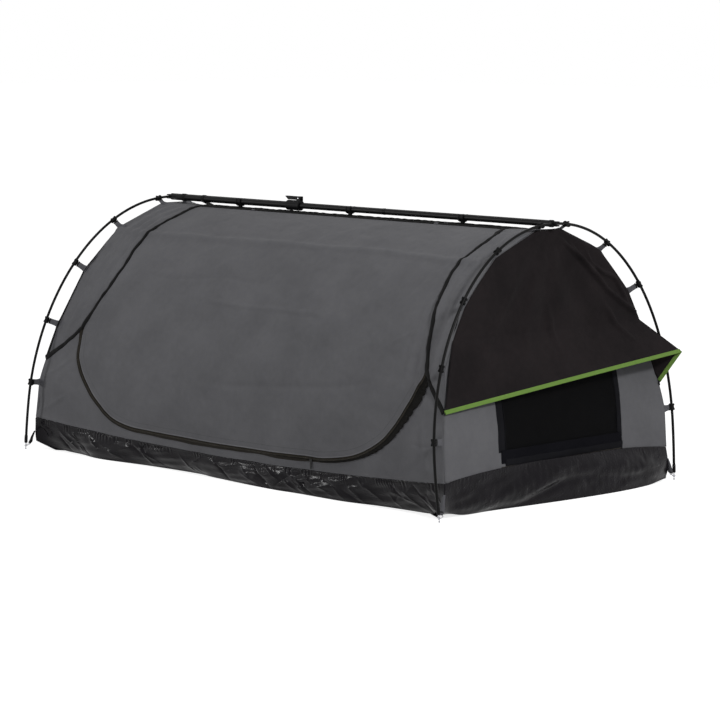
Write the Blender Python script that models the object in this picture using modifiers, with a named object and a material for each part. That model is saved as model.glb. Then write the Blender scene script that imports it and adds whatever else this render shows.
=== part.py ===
"""Swag bedroll: a two-person dome swag on two hoops and a telescopic ridge pole.

Metres, +Z up. +X runs to the head end, -Y is the near side. The origin is the middle of the tub's underside.
"""
import bpy
import bmesh
from math import asin, atan2, cos, hypot, pi, radians, sin, sqrt
from mathutils import Matrix, Vector

# Driving dimensions: hoops
hoop_half_width = 0.700
hoop_rise = 0.832
hoop_spring_height = 0.220
hoop_leg_pinch = 0.0073
hoop_foot_height = 0.030
hoop_squareness_share = 0.96
hoop_pole_diameter = 0.009
hoop_bore_diameter = 0.0062
hoop_bore_depth = 0.030
foot_hoop_ground_x = -1.2085
foot_hoop_top_x = -1.055
foot_hoop_bow = 0.004
head_hoop_ground_x = 1.1715
head_hoop_top_x = 1.107
head_hoop_bow = -0.009
hoop_points = 52

# Driving dimensions: canvas body
canvas_side_clearance = 0.045
canvas_ridge_drop = 0.018
canvas_half_width = hoop_half_width - canvas_side_clearance
canvas_spring_height = 0.200
ridge_axis_height = hoop_spring_height + hoop_rise
canvas_top = ridge_axis_height - canvas_ridge_drop
ridge_sag = 0.016
side_sag = 0.020
ridge_flatness = 10
canvas_thickness = 0.002
canvas_inset = 0.030
inset_low_height = 0.300
inset_high_height = 0.600
scallop_share = 0.10
roof_crease = 0.005
roof_crease_angle = 61.0
roof_crease_spread = 14.0
roof_crease_power = 1.5
seam_gap = 0.0003
zip_gap = 0.0020
hinge_gap = 0.0007
tub_edge_height = 0.138
tub_edge_dip = 0.042
tub_end_rise = 0.012

# Driving dimensions: tub and bed
tub_thickness = 0.002
tub_flare = 0.078
tub_foot_setback = 0.0735
tub_head_setback = 0.0315
tub_half_width = canvas_half_width - tub_flare
tub_foot_x = foot_hoop_ground_x + tub_foot_setback
tub_head_x = head_hoop_ground_x - tub_head_setback
tub_corner_radius = 0.080
tub_wall_bulge = 0.010
tub_seam_drop = 0.0014
tub_seam_lap = 0.0016
tub_bulge_share = 0.45
tub_high_share = 0.74
tub_low_share = 0.20
tub_high_bulge_share = 0.62
tub_low_bulge_share = 0.70
tub_fold_depth = 0.011
tub_fold_width_share = 0.26
tub_fold_shares = ((-1.0, 0.05), (-0.45, 0.35), (0.10, 0.80), (0.60, 0.62), (1.0, 0.30))
floor_ring_shares = ((0.82, 0.72), (0.50, 0.30))
strap_width = 0.012
strap_webbing = 0.0012
strap_fit = 0.0004
strap_sink = 0.0030
mattress_end_clearance = 0.0975
mattress_side_clearance = 0.052
mattress_length = tub_head_x - tub_foot_x - 2 * mattress_end_clearance
mattress_width = 2 * (tub_half_width - mattress_side_clearance)
mattress_edge_thickness = 0.042
mattress_crown = 0.016
mattress_draw_in = 0.012
mattress_corner_radius = 0.060
mattress_channel_pitch = 0.208
mattress_channel_depth = 0.005
mattress_end_share = 0.12
mattress_top_share = 0.60
mattress_bulge_share = 0.45
mattress_low_crown_share = 0.35
mattress_channel_sharpness = 3

# Driving dimensions: ridge pole
outer_tube_diameter = 0.0284
inner_tube_diameter = 0.0250
tube_wall = 0.0013
clamp_share = 0.3524514
clamp_middle_x = foot_hoop_top_x + (head_hoop_top_x - foot_hoop_top_x) * clamp_share
clamp_length = 0.078
clamp_collar_diameter = 0.042
inner_tube_overlap = 0.330
pole_fit = 0.0003

# Driving dimensions: openings, flap and doors
window_half_width = 0.345
window_offset = 0.030
window_foot_height = 0.170
window_top_height = 0.600
window_gap = 0.0005
window_lap = 0.010
window_cut_depth = 0.180
end_wall_shrink = 0.0028
end_wall_centre_height = 0.300
end_wall_recess = 0.0003
awning_fold_height = 0.646
awning_inset = 0.012
awning_near_reach = 0.0111
awning_far_reach = 0.1144
awning_return_reach = 0.0117
awning_near_clearance = 0.028
awning_far_overhang = 0.005
awning_return_clearance = 0.031
awning_near_height = 0.3940
awning_far_height = 0.5215
awning_return_height = 0.3970
awning_fold_depth = 0.012
awning_fold_count = 11
awning_fold_lean = 0.6
awning_fold_reach = 0.300
awning_fold_edge_power = 6
awning_fold_start_share = 0.25
awning_fold_end_share = 0.80
awning_fold_clear_height = 0.080
trim_width = 0.018
trim_thickness = 0.0012
flap_hem_share = 0.025
return_shares = (0.5, 1.0)
mesh_drop = 0.0027
mesh_thickness = 0.0015

# Angles, in degrees up from the spring line of the arches
clip_angles = (5.0, 23.8, 43.6, 63.6, 84.3)
hinge_angle = 87.0
seam_branch_angle = 24.0
seam_end_angle = 13.5
awning_top_angle = 80.0
canvas_skirt_angle = 6.0
clip_search_angle = 14.0
tangent_step_angle = 0.5

# Rows of the door outline from the ridge down: angle, then share of the length at the foot and head sides
door_row_shares = (
    (82.0, 0.096, 0.922), (76.0, 0.100, 0.934), (69.0, 0.098, 0.934), (61.0, 0.096, 0.928),
    (53.0, 0.098, 0.930), (45.0, 0.100, 0.937), (38.0, 0.094, 0.942), (31.0, 0.083, 0.949),
    (24.0, 0.070, 0.958), (19.0, 0.079, 0.944), (13.5, 0.094, 0.921), (8.0, 0.122, 0.892),
    (3.0, 0.157, 0.857), (-1.3, 0.197, 0.802), (-3.4, 0.250, 0.735),
)
door_top_shares = (0.090, 0.908)
door_bottom_sag = radians(0.9)
door_columns = 10
branch_row = 8
hood_low_shares = (0.06, 0.50)
hood_gather_share = 0.12
wall_tuck_share = 0.25

black_plastic = (0.012, 0.012, 0.013)
canvas_grey = (0.092, 0.092, 0.098)
flap_black = (0.014, 0.013, 0.014)

for old in list(bpy.data.objects):
    bpy.data.objects.remove(old, do_unlink=True)
parts = bpy.data.collections.new("swag_bedroll")
cutters = bpy.data.collections.new("cutters")
bpy.context.scene.collection.children.link(parts)
bpy.context.scene.collection.children.link(cutters)


def material(name, colour, roughness=0.7, metallic=0.0):
    finish = bpy.data.materials.new(name)
    finish.use_nodes = True
    shader = finish.node_tree.nodes["Principled BSDF"]
    shader.inputs["Base Color"].default_value = (*colour, 1)
    shader.inputs["Roughness"].default_value = roughness
    shader.inputs["Metallic"].default_value = metallic
    return finish


def keep(obj, colour, roughness=0.7, metallic=0.0, smooth_angle=40):
    """Put a finished piece in the parts collection with a material of its own."""
    for home in list(obj.users_collection):
        home.objects.unlink(obj)
    parts.objects.link(obj)
    obj.data.materials.clear()
    obj.data.materials.append(material(obj.name, colour, roughness, metallic))
    if obj.type == "MESH":
        obj.data.shade_smooth()
        obj.data.set_sharp_from_angle(angle=radians(smooth_angle))
    return obj


def new_object(name, data):
    obj = bpy.data.objects.new(name, data)
    bpy.context.scene.collection.objects.link(obj)
    return obj


def mesh_from(curve_object, weld=0.00001):
    """A plain mesh copy of a curve object or of an object with modifiers, welded shut."""
    bpy.context.view_layer.update()
    graph = bpy.context.evaluated_depsgraph_get()
    data = bpy.data.meshes.new_from_object(curve_object.evaluated_get(graph))
    form = bmesh.new()
    form.from_mesh(data)
    bmesh.ops.remove_doubles(form, verts=form.verts, dist=weld)
    form.to_mesh(data)
    form.free()
    solid = new_object(curve_object.name + "_solid", data)
    solid.matrix_world = curve_object.matrix_world
    name = curve_object.name
    bpy.data.objects.remove(curve_object, do_unlink=True)
    solid.name = name
    return solid


def combine(base, tool, operation):
    """Cut or join two solids at once, and drop the tool."""
    change = base.modifiers.new(operation.lower(), "BOOLEAN")
    change.operation = operation
    change.solver = "EXACT"
    change.object = tool
    result = mesh_from(base)
    bpy.data.objects.remove(tool, do_unlink=True)
    return result


def box(name, size, middle, turn=None):
    form = bmesh.new()
    bmesh.ops.create_cube(form, size=1)
    bmesh.ops.scale(form, vec=size, verts=form.verts)
    data = bpy.data.meshes.new(name)
    form.to_mesh(data)
    form.free()
    obj = new_object(name, data)
    obj.matrix_world = Matrix.Translation(middle) @ (turn or Matrix.Identity(4))
    return obj


def cylinder(name, radius, length, middle, direction, sides=20):
    form = bmesh.new()
    bmesh.ops.create_cone(form, cap_ends=True, segments=sides, radius1=radius, radius2=radius, depth=length)
    data = bpy.data.meshes.new(name)
    form.to_mesh(data)
    form.free()
    obj = new_object(name, data)
    turn = Vector((0, 0, 1)).rotation_difference(direction).to_matrix().to_4x4()
    obj.matrix_world = Matrix.Translation(middle) @ turn
    return obj


def turned(name, profile, steps, place):
    """A closed profile of radius and height, turned about Z and then placed."""
    data = bpy.data.meshes.new(name)
    form = bmesh.new()
    points = [form.verts.new((radius, 0, height)) for radius, height in profile]
    for index, point in enumerate(points):
        form.edges.new((point, points[(index + 1) % len(points)]))
    form.to_mesh(data)
    form.free()
    obj = new_object(name, data)
    turn = obj.modifiers.new("turn", "SCREW")
    turn.steps = steps
    turn.render_steps = steps
    turn.use_merge_vertices = True
    turn.merge_threshold = 0.00001
    obj.matrix_world = place
    return obj


def outline(name, loops, thickness, place):
    """A flat outline, with holes as further loops, in the place's XY plane."""
    data = bpy.data.curves.new(name, "CURVE")
    data.dimensions = "2D"
    data.fill_mode = "BOTH"
    data.extrude = thickness / 2
    for loop in loops:
        line = data.splines.new("POLY")
        line.points.add(len(loop) - 1)
        for point, (across, along) in zip(line.points, loop):
            point.co = (across, along, 0, 1)
        line.use_cyclic_u = True
    obj = new_object(name, data)
    obj.matrix_world = place
    return obj


def framed(x_way, y_way, z_way, origin):
    place = Matrix((x_way, y_way, z_way)).transposed().to_4x4()
    place.translation = origin
    return place


def seat_origin(obj, axis_point):
    """Move a piece's origin to a point of its joint's axis without moving the piece."""
    obj.data.transform(Matrix.Translation(-axis_point))
    obj.location = axis_point
    return obj


def rod(name, route, diameter, resolution=2):
    data = bpy.data.curves.new(name, "CURVE")
    data.dimensions = "3D"
    data.bevel_depth = diameter / 2
    data.bevel_resolution = resolution
    data.use_fill_caps = True
    line = data.splines.new("POLY")
    line.points.add(len(route) - 1)
    for point, place in zip(line.points, route):
        point.co = (*place, 1)
    return new_object(name, data)


def sheet(name, rows, thickness, outward):
    """Cloth from rows of points on its outer face; outward tells which way that face looks at a point."""
    form = bmesh.new()
    grid = [[form.verts.new(point) for point in row] for row in rows]
    for upper, lower in zip(grid, grid[1:]):
        for index in range(len(upper) - 1):
            form.faces.new((upper[index], upper[index + 1], lower[index + 1], lower[index]))
    form.normal_update()
    form.faces.ensure_lookup_table()
    middle = form.faces[len(form.faces) // 2]
    if middle.normal.dot(outward(middle.calc_center_median())) < 0:
        bmesh.ops.reverse_faces(form, faces=form.faces)
    data = bpy.data.meshes.new(name)
    form.to_mesh(data)
    form.free()
    obj = new_object(name, data)
    wall = obj.modifiers.new("wall", "SOLIDIFY")
    wall.thickness = thickness
    wall.offset = -1
    return obj


def blend(start, end, share):
    return start + (end - start) * share


def smooth_step(share):
    share = min(1, max(0, share))
    return share * share * (3 - 2 * share)


def hoop_x(height, end):
    """Where a hoop's leaning plane stands at a height."""
    share = height / ridge_axis_height
    bulge = 4 * share * (1 - share)
    if end == "foot":
        return blend(foot_hoop_ground_x, foot_hoop_top_x, share) + foot_hoop_bow * bulge
    return blend(head_hoop_ground_x, head_hoop_top_x, share) + head_hoop_bow * bulge


def hoop_point(angle, end):
    """Centre of the hoop pole; the angle runs from the near spring line (0) over the top (to pi)."""
    spread = abs(cos(angle)) ** hoop_squareness_share
    side = -1 if cos(angle) > 0 else 1
    height = hoop_spring_height + hoop_rise * sin(angle)
    return Vector((hoop_x(height, end), side * hoop_half_width * spread, height))


def hoop_tangent(angle, end):
    step = radians(tangent_step_angle)
    return (hoop_point(angle + step, end) - hoop_point(angle - step, end)).normalized()


def leg_point(share, end, side):
    """Centre of a hoop's leg, from its foot (0) to the spring line (1)."""
    height = blend(hoop_foot_height, hoop_spring_height, share)
    pinch = hoop_leg_pinch * (1 - share) ** 2
    return Vector((hoop_x(height, end), side * (hoop_half_width - pinch), height))


def canvas_end_x(height, end):
    """The canvas body's end at a height: drawn in from the hoop higher up, in the hoop's plane low down."""
    drawn = (height - inset_low_height) / (inset_high_height - inset_low_height)
    inset = canvas_inset * smooth_step(drawn)
    return hoop_x(height, end) + (inset if end == "foot" else -inset)


def smooth_section(share, angle):
    """Across and height of the canvas before its edges are scalloped; angle 0 near, pi far."""
    bow = 4 * share * (1 - share)
    half = canvas_half_width - side_sag * bow
    top = canvas_top - ridge_sag * (1 - abs(2 * share - 1) ** ridge_flatness)
    return Vector((-half * cos(angle), canvas_spring_height + (top - canvas_spring_height) * sin(angle)))


def facing_angle(clip_angle, end):
    """The canvas arch angle that lies square in from a hoop clip."""
    hoop = hoop_point(clip_angle, end)
    along = hoop_tangent(clip_angle, end)
    low = clip_angle - radians(clip_search_angle)
    high = clip_angle + radians(clip_search_angle)
    for _ in range(40):
        middle = (low + high) / 2
        across, height = smooth_section(0 if end == "foot" else 1, middle)
        edge = Vector((canvas_end_x(height, end), across, height))
        if (edge - hoop).dot(along) < 0:
            low = middle
        else:
            high = middle
    return (low + high) / 2


near_clip_angles = [radians(angle) for angle in clip_angles]
all_clip_angles = near_clip_angles + [pi - angle for angle in reversed(near_clip_angles)]
skirt = radians(canvas_skirt_angle)
canvas_corners = {
    end: [-skirt] + [facing_angle(angle, end) for angle in all_clip_angles] + [pi + skirt]
    for end in ("foot", "head")
}


def canvas_point(share, angle):
    """Outer face of the canvas: share of the length from the foot, angle from near (0) to far (pi)."""
    place = smooth_section(share, angle)
    edge_distance = min(share, 1 - share)
    pull = max(0, 1 - edge_distance / scallop_share) ** 2
    if pull > 0:
        corners = canvas_corners["foot" if share < 0.5 else "head"]
        for first, second in zip(corners, corners[1:]):
            if first <= angle <= second:
                start = smooth_section(share, first)
                end = smooth_section(share, second)
                chord = blend(start, end, (angle - first) / (second - first))
                place = blend(place, chord, pull)
                break
    across, height = place
    off_crease = abs(min(angle, pi - angle) - radians(roof_crease_angle)) / radians(roof_crease_spread)
    if off_crease < 1:
        lift = roof_crease * (1 - off_crease) ** roof_crease_power
        lift *= smooth_step(edge_distance / scallop_share)
        away = Vector((across, height - canvas_spring_height)).normalized()
        across, height = place + away * lift
    x = blend(canvas_end_x(height, "foot"), canvas_end_x(height, "head"), share)
    return Vector((x, across, height))


def tub_edge(share):
    """Height of the seam between the tub and the side canvas."""
    return tub_edge_height - tub_edge_dip * 4 * share * (1 - share)


def tub_end_height(across):
    """Height of the tub's edge along an end, which rises to the middle; across runs from -1 to 1."""
    return tub_edge_height - tub_seam_drop + tub_end_rise * (1 - across * across)


def tub_angle(share):
    top = canvas_top - ridge_sag * (1 - abs(2 * share - 1) ** ridge_flatness)
    return asin((tub_edge(share) - canvas_spring_height) / (top - canvas_spring_height))


def outward_from_middle(place):
    return Vector((0, place.y, place.z - canvas_spring_height / 2))


def ahead(place):
    return Vector((1, 0, 0))


def behind(place):
    return Vector((-1, 0, 0))


def above(place):
    return Vector((0, 0, 1))


def on_side(angle, side):
    """An angle counted on the near side, moved to the far side when side is 1."""
    return angle if side < 0 else pi - angle


canvas_length = head_hoop_ground_x - foot_hoop_ground_x
seam_share = seam_gap / canvas_length
seam_angle = seam_gap / (canvas_top - canvas_spring_height)
zip_share = zip_gap / canvas_length
zip_angle = zip_gap / (canvas_top - canvas_spring_height)
ridge_edge = canvas_point(0.5, radians(hinge_angle))
hinge_y = abs(ridge_edge.y)
hinge_z = canvas_point(door_top_shares[0], radians(hinge_angle)).z


def add_hoop(name, end):
    leg_shares = [0, 0.25, 0.5, 0.75]
    route = [leg_point(share, end, -1) for share in leg_shares]
    route += [hoop_point(pi * index / hoop_points, end) for index in range(hoop_points + 1)]
    route += [leg_point(share, end, 1) for share in reversed(leg_shares)]
    hoop = mesh_from(rod(name, route, hoop_pole_diameter))
    for first, second in ((route[0], route[1]), (route[-1], route[-2])):
        up = (second - first).normalized()
        reach = hoop_bore_depth + hoop_pole_diameter
        middle = first + up * (reach / 2 - hoop_pole_diameter)
        bore = cylinder(name + "_bore", hoop_bore_diameter / 2, reach, middle, up, 12)
        hoop = combine(hoop, bore, "DIFFERENCE")
    keep(hoop, black_plastic, 0.35, 0.6)


def clip_loop(bore, wall, opening, tail, tail_half, arc_steps):
    """Side view of a C-clip with a tail along +X: out round the ring, back along its bore."""
    bore_step = (pi - opening) / arc_steps
    bore = bore / cos(bore_step / 2)
    outer = bore + wall
    tail_angle = asin(tail_half / outer)
    loop = [(tail, -tail_half), (tail, tail_half)]
    for index in range(arc_steps + 1):
        angle = blend(tail_angle, pi - opening, index / arc_steps)
        loop.append((outer * cos(angle), outer * sin(angle)))
    for index in range(2 * arc_steps + 1):
        angle = blend(pi - opening, opening - pi, index / (2 * arc_steps))
        loop.append((bore * cos(angle), bore * sin(angle)))
    for index in range(arc_steps):
        angle = blend(opening - pi, -tail_angle, index / arc_steps)
        loop.append((outer * cos(angle), outer * sin(angle)))
    loop.append((outer * cos(tail_angle), -tail_half))
    return loop


clip_fit = 0.0006
clip_wall = 0.0034
clip_width = 0.018
clip_opening = radians(48)
clip_arc_steps = 4
tab_thickness = 0.0022


def add_hoop_clip(name, end, clip_angle):
    """A clip round the hoop pole with its webbing tab, which reaches the corner of the canvas arch."""
    hoop = hoop_point(clip_angle, end)
    along = hoop_tangent(clip_angle, end)
    edge = canvas_point(0 if end == "foot" else 1, facing_angle(clip_angle, end))
    tab = edge - hoop
    tab -= along * tab.dot(along)
    bore = hoop_pole_diameter / 2 + clip_fit
    tail = tab.length - seam_gap * 2
    loop = clip_loop(bore, clip_wall, clip_opening, tail, tab_thickness / 2, clip_arc_steps)
    tab.normalize()
    place = framed(tab, along.cross(tab), along, hoop)
    keep(mesh_from(outline(name, [loop], clip_width, place)), black_plastic, 0.5)


ridge_clip_shares = (0.2016651, 0.5013876, 0.7858464)
ridge_clip_xs = [blend(foot_hoop_top_x, head_hoop_top_x, share) for share in ridge_clip_shares]
ridge_clip_wall = 0.0035
ridge_clip_width = 0.030
ridge_clip_tail_half = 0.007


def add_ridge_clip(name, x, tube_diameter):
    bore = tube_diameter / 2 + pole_fit
    tail = ridge_axis_height - hinge_z - seam_gap
    loop = clip_loop(bore, ridge_clip_wall, clip_opening, tail, ridge_clip_tail_half, clip_arc_steps + 1)
    down = Vector((0, 0, -1))
    along = Vector((1, 0, 0))
    place = framed(down, along.cross(down), along, Vector((x, 0, ridge_axis_height)))
    keep(mesh_from(outline(name, [loop], ridge_clip_width, place)), black_plastic, 0.45)


along_x = Matrix.Rotation(radians(90), 4, "Y")
fork_collar_length = 0.014
fork_collar_radius = outer_tube_diameter / 2
fork_spigot_length = 0.032
fork_reach = 0.020
fork_half_width = 0.010
fork_prong = 0.0048


def add_tube(name, start_x, end_x, diameter):
    radius = diameter / 2
    bore = radius - tube_wall
    length = end_x - start_x
    profile = [(radius, length), (radius, 0), (bore, 0), (bore, length)]
    place = Matrix.Translation((start_x, 0, ridge_axis_height)) @ along_x
    keep(mesh_from(turned(name, profile, 24, place)), black_plastic, 0.3, 0.7)


def add_fork(name, hoop_top_x, toward, bore_diameter):
    """End fitting of the ridge pole: a spigot, a collar, and two prongs over and under the hoop."""
    throat = hoop_pole_diameter / 2 + pole_fit
    collar_x = hoop_top_x + toward * throat
    tube_x = collar_x + toward * fork_collar_length
    spigot_radius = bore_diameter / 2 - pole_fit
    middle = Vector(((collar_x + tube_x) / 2, 0, ridge_axis_height))
    axis = Vector((toward, 0, 0))
    body = cylinder(name, fork_collar_radius, fork_collar_length, middle, axis, 24)
    overlap = fork_collar_length / 2
    spigot_length = fork_spigot_length + overlap
    spigot_middle = Vector((tube_x, 0, ridge_axis_height)) + axis * ((spigot_length / 2) - overlap)
    spigot = cylinder(name + "_spigot", spigot_radius, spigot_length, spigot_middle, axis, 24)
    body = combine(body, spigot, "UNION")
    prong_length = fork_reach + throat + overlap
    for side in (-1, 1):
        height = ridge_axis_height + side * (throat + fork_prong / 2)
        prong_middle = Vector((collar_x + toward * overlap - toward * prong_length / 2, 0, height))
        size = Vector((prong_length, fork_half_width * 2, fork_prong))
        body = combine(body, box(name + "_prong", size, prong_middle), "UNION")
    body.name = name
    keep(body, black_plastic, 0.45)
    return tube_x


clamp_lip = 0.018
clamp_chamfer = 0.0026
clamp_ear_thickness = 0.0035
clamp_ear_gap = 0.0135
clamp_ear_length = 0.020
lever_pin_height = 0.0300
lever_pin_diameter = 0.0050
lever_fit = 0.0003
lever_thickness = 0.0125
lever_length = 0.078
lever_tip_height = 0.0355
lever_tip_rise = 0.0022
lever_heel_height = 0.0230
lever_head_radius = 0.0075
lever_toe_share = 0.80
lever_window_share = 0.32
lever_window_diameter = 0.007


def add_clamp():
    """Flip-lock clamp: a collar on the end of the outer tube, two ears, a pin and a cam lever."""
    head_x = clamp_middle_x + clamp_length / 2
    foot_x = clamp_middle_x - clamp_length / 2
    outer_bore = outer_tube_diameter / 2 + pole_fit
    lip_bore = inner_tube_diameter / 2 + pole_fit
    radius = clamp_collar_diameter / 2
    step = clamp_length - clamp_lip
    shoulder = radius - clamp_chamfer
    profile = [
        (shoulder, clamp_length), (radius, clamp_length - clamp_chamfer),
        (radius, clamp_chamfer), (shoulder, 0),
        (outer_bore, 0), (outer_bore, step), (lip_bore, step), (lip_bore, clamp_length),
    ]
    place = Matrix.Translation((foot_x, 0, ridge_axis_height)) @ along_x
    collar = mesh_from(turned("clamp_collar", profile, 24, place))
    ear_top = lever_pin_height + lever_head_radius
    ear_foot = outer_bore + clamp_ear_thickness / 2
    pin_x = head_x - clamp_ear_length / 2
    for side in (-1, 1):
        size = Vector((clamp_ear_length, clamp_ear_thickness, ear_top - ear_foot))
        across = side * (clamp_ear_gap + clamp_ear_thickness) / 2
        middle = Vector((pin_x, across, ridge_axis_height + (ear_top + ear_foot) / 2))
        collar = combine(collar, box("ear", size, middle), "UNION")
    pin_place = Vector((pin_x, 0, ridge_axis_height + lever_pin_height))
    across_y = Vector((0, 1, 0))
    hole = lever_pin_diameter / 2 + lever_fit
    width = clamp_ear_gap + 2 * clamp_ear_thickness
    collar = combine(collar, cylinder("pin_hole", hole, width * 2, pin_place, across_y, 16), "DIFFERENCE")
    collar.name = "ridge_clamp"
    keep(collar, black_plastic, 0.5)

    pin = cylinder("clamp_pin", lever_pin_diameter / 2, width, pin_place, across_y, 16)
    keep(pin, (0.35, 0.35, 0.36), 0.3, 1.0)

    loop = []
    for index in range(9):
        angle = blend(pi / 2, -pi / 2, index / 8)
        loop.append((lever_head_radius * cos(angle), lever_head_radius * sin(angle)))
    loop.append((-lever_length * (1 - lever_toe_share), lever_heel_height - lever_pin_height))
    loop.append((-lever_length * lever_toe_share, lever_heel_height - lever_pin_height))
    loop.append((-lever_length, lever_tip_height - lever_pin_height))
    loop.append((-lever_length, lever_tip_height - lever_pin_height + lever_tip_rise))
    ring = [(hole * cos(2 * pi * index / 12), hole * sin(2 * pi * index / 12)) for index in range(12)]
    eye = lever_window_diameter / 2
    eye_x = -lever_length * lever_window_share
    window = [(eye_x + eye * cos(2 * pi * index / 8), eye * sin(2 * pi * index / 8)) for index in range(8)]
    place = Matrix.Translation(pin_place) @ Matrix.Rotation(radians(90), 4, "X")
    lever = mesh_from(outline("clamp_lever", [loop, ring, window], lever_thickness, place))
    keep(lever, black_plastic, 0.5)
    return foot_x, head_x


pin_rod_diameter = 0.0052
pin_eye_radius = 0.0056
pin_eye_thickness = 0.0050
pin_eye_hole = 0.0042
pin_eye_height = 0.0170
pin_ball_radius = 0.0040
pin_neck_diameter = 0.0034
pin_aim_share = 0.25
pin_ground_gap = 0.0005
pin_spigot_length = 0.026
ring_radius = 0.0105
ring_wire = 0.0030


def add_foot(number, end, side, corner):
    """The silver pin in a hoop's end, and the ring that ties it to the tub's corner."""
    foot = leg_point(0, end, side)
    up = (leg_point(pin_aim_share, end, side) - foot).normalized()
    eye_place = foot - up * (foot.z - pin_eye_height) / up.z
    ring_way = (corner - eye_place).normalized()
    square = Vector((0, 0, 1)).cross(ring_way).normalized()
    name = "foot_pin_" + number
    pin = cylinder(name, pin_eye_radius, pin_eye_thickness, eye_place, square, 16)
    shank_length = (foot - eye_place).length + pin_spigot_length
    shank_middle = eye_place + up * (shank_length / 2)
    pin = combine(pin, cylinder("shank", pin_rod_diameter / 2, shank_length, shank_middle, up, 12), "UNION")
    ball_place = eye_place - up * (eye_place.z - pin_ball_radius - pin_ground_gap) / up.z
    form = bmesh.new()
    bmesh.ops.create_uvsphere(form, u_segments=10, v_segments=6, radius=pin_ball_radius)
    data = bpy.data.meshes.new("ball")
    form.to_mesh(data)
    form.free()
    ball = new_object("ball", data)
    ball.matrix_world = Matrix.Translation(ball_place)
    pin = combine(pin, ball, "UNION")
    neck_length = (eye_place - ball_place).length
    neck = cylinder("neck", pin_neck_diameter / 2, neck_length, (eye_place + ball_place) / 2, up, 10)
    pin = combine(pin, neck, "UNION")
    hole = cylinder("eye", pin_eye_hole / 2, pin_eye_thickness * 3, eye_place, square, 14)
    pin = combine(pin, hole, "DIFFERENCE")
    pin.name = name
    keep(pin, (0.55, 0.55, 0.56), 0.25, 1.0)

    middle = eye_place + ring_way * ring_radius
    bpy.ops.mesh.primitive_torus_add(
        major_radius=ring_radius, minor_radius=ring_wire / 2, major_segments=20, minor_segments=8)
    ring = bpy.context.object
    ring.name = "foot_ring_" + number
    upward = ring_way.cross(square).normalized()
    ring.matrix_world = framed(ring_way, square, upward, middle)
    keep(ring, (0.55, 0.55, 0.56), 0.25, 1.0)

    start = middle + ring_way * ring_radius
    return strap("strap_" + number, start, ring_way, square, (corner - start).length)


def strap(name, start, along, square, length):
    """Webbing from a ring to the tub's corner, with a loop that holds the ring's wire."""
    wire = ring_wire / 2 + strap_fit
    half_width = strap_width / 2
    inner_radius = ring_radius - ring_wire / 2
    curve_in = inner_radius - sqrt(inner_radius ** 2 - half_width ** 2)
    inner_end = -wire - curve_in
    inner_height = wire
    outer_end = inner_end - strap_webbing
    outer_height = inner_height + strap_webbing
    shoulder = wire + strap_webbing
    reach = length + strap_sink
    loop = [
        (reach, strap_webbing), (shoulder + outer_height, strap_webbing), (wire, outer_height),
        (inner_end, outer_height), (outer_end, inner_height), (outer_end, -inner_height),
        (inner_end, -outer_height), (wire, -outer_height), (shoulder + outer_height, -strap_webbing),
        (reach, -strap_webbing),
    ]
    hole = [(inner_end, -wire), (wire, -wire), (wire, wire), (inner_end, wire)]
    place = framed(along, square.cross(along).normalized(), square, start)
    return mesh_from(outline(name, [loop, hole], strap_width, place))


def hood_path(end):
    """Pairs of points on the arch edge and the hood seam, from the near side over the ridge."""
    arch_share = 0 if end == "foot" else 1
    column = 1 if end == "foot" else 2
    top_share = door_top_shares[column - 1]
    end_sign = 1 if end == "foot" else -1
    branch_share = door_row_shares[branch_row][column]
    near = []
    for climb in hood_low_shares:
        seam = blend(arch_share, branch_share, climb)
        seam_at = radians(blend(seam_end_angle, seam_branch_angle, climb)) + seam_angle * 2
        arch_climb = climb + (1 - climb) * hood_gather_share
        arch_at = radians(blend(seam_end_angle, seam_branch_angle, arch_climb)) + seam_angle * 2
        near.append(((arch_share, arch_at), (seam, seam_at)))
    for angle, foot_share, head_share in reversed(door_row_shares[:branch_row + 1]):
        seam = (foot_share, head_share)[column - 1] - end_sign * zip_share / 2
        at = radians(angle)
        near.append(((arch_share, at + (seam_angle if angle == seam_branch_angle else 0)), (seam, at)))
    seam_top = top_share - end_sign * zip_share / 2
    near.append(((arch_share, radians(hinge_angle)), (seam_top, radians(hinge_angle))))
    far = [((a, pi - b), (c, pi - d)) for (a, b), (c, d) in reversed(near)]
    return near + [((arch_share, pi / 2), (seam_top, pi / 2))] + far


def hood_rows(end, steps):
    path = hood_path(end)
    rows = []
    for step in range(steps + 1):
        share = step / steps
        rows.append([canvas_point(blend(a, c, share), blend(b, d, share)) for (a, b), (c, d) in path])
    return rows


def door_path():
    """The door's outline below the seam branches, as share and angle, from foot side to head side."""
    low_rows = door_row_shares[branch_row:]
    left = [(foot_share, radians(angle)) for angle, foot_share, head_share in low_rows]
    right = [(head_share, radians(angle)) for angle, foot_share, head_share in reversed(low_rows)]
    first, second = left[-1], right[0]
    bottom = []
    for index in range(1, door_columns):
        share = index / door_columns
        bottom.append((blend(first[0], second[0], share), bottom_angle(share)))
    return left + bottom + right


def bottom_angle(share):
    return radians(door_row_shares[-1][0]) - door_bottom_sag * 4 * share * (1 - share)


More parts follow.
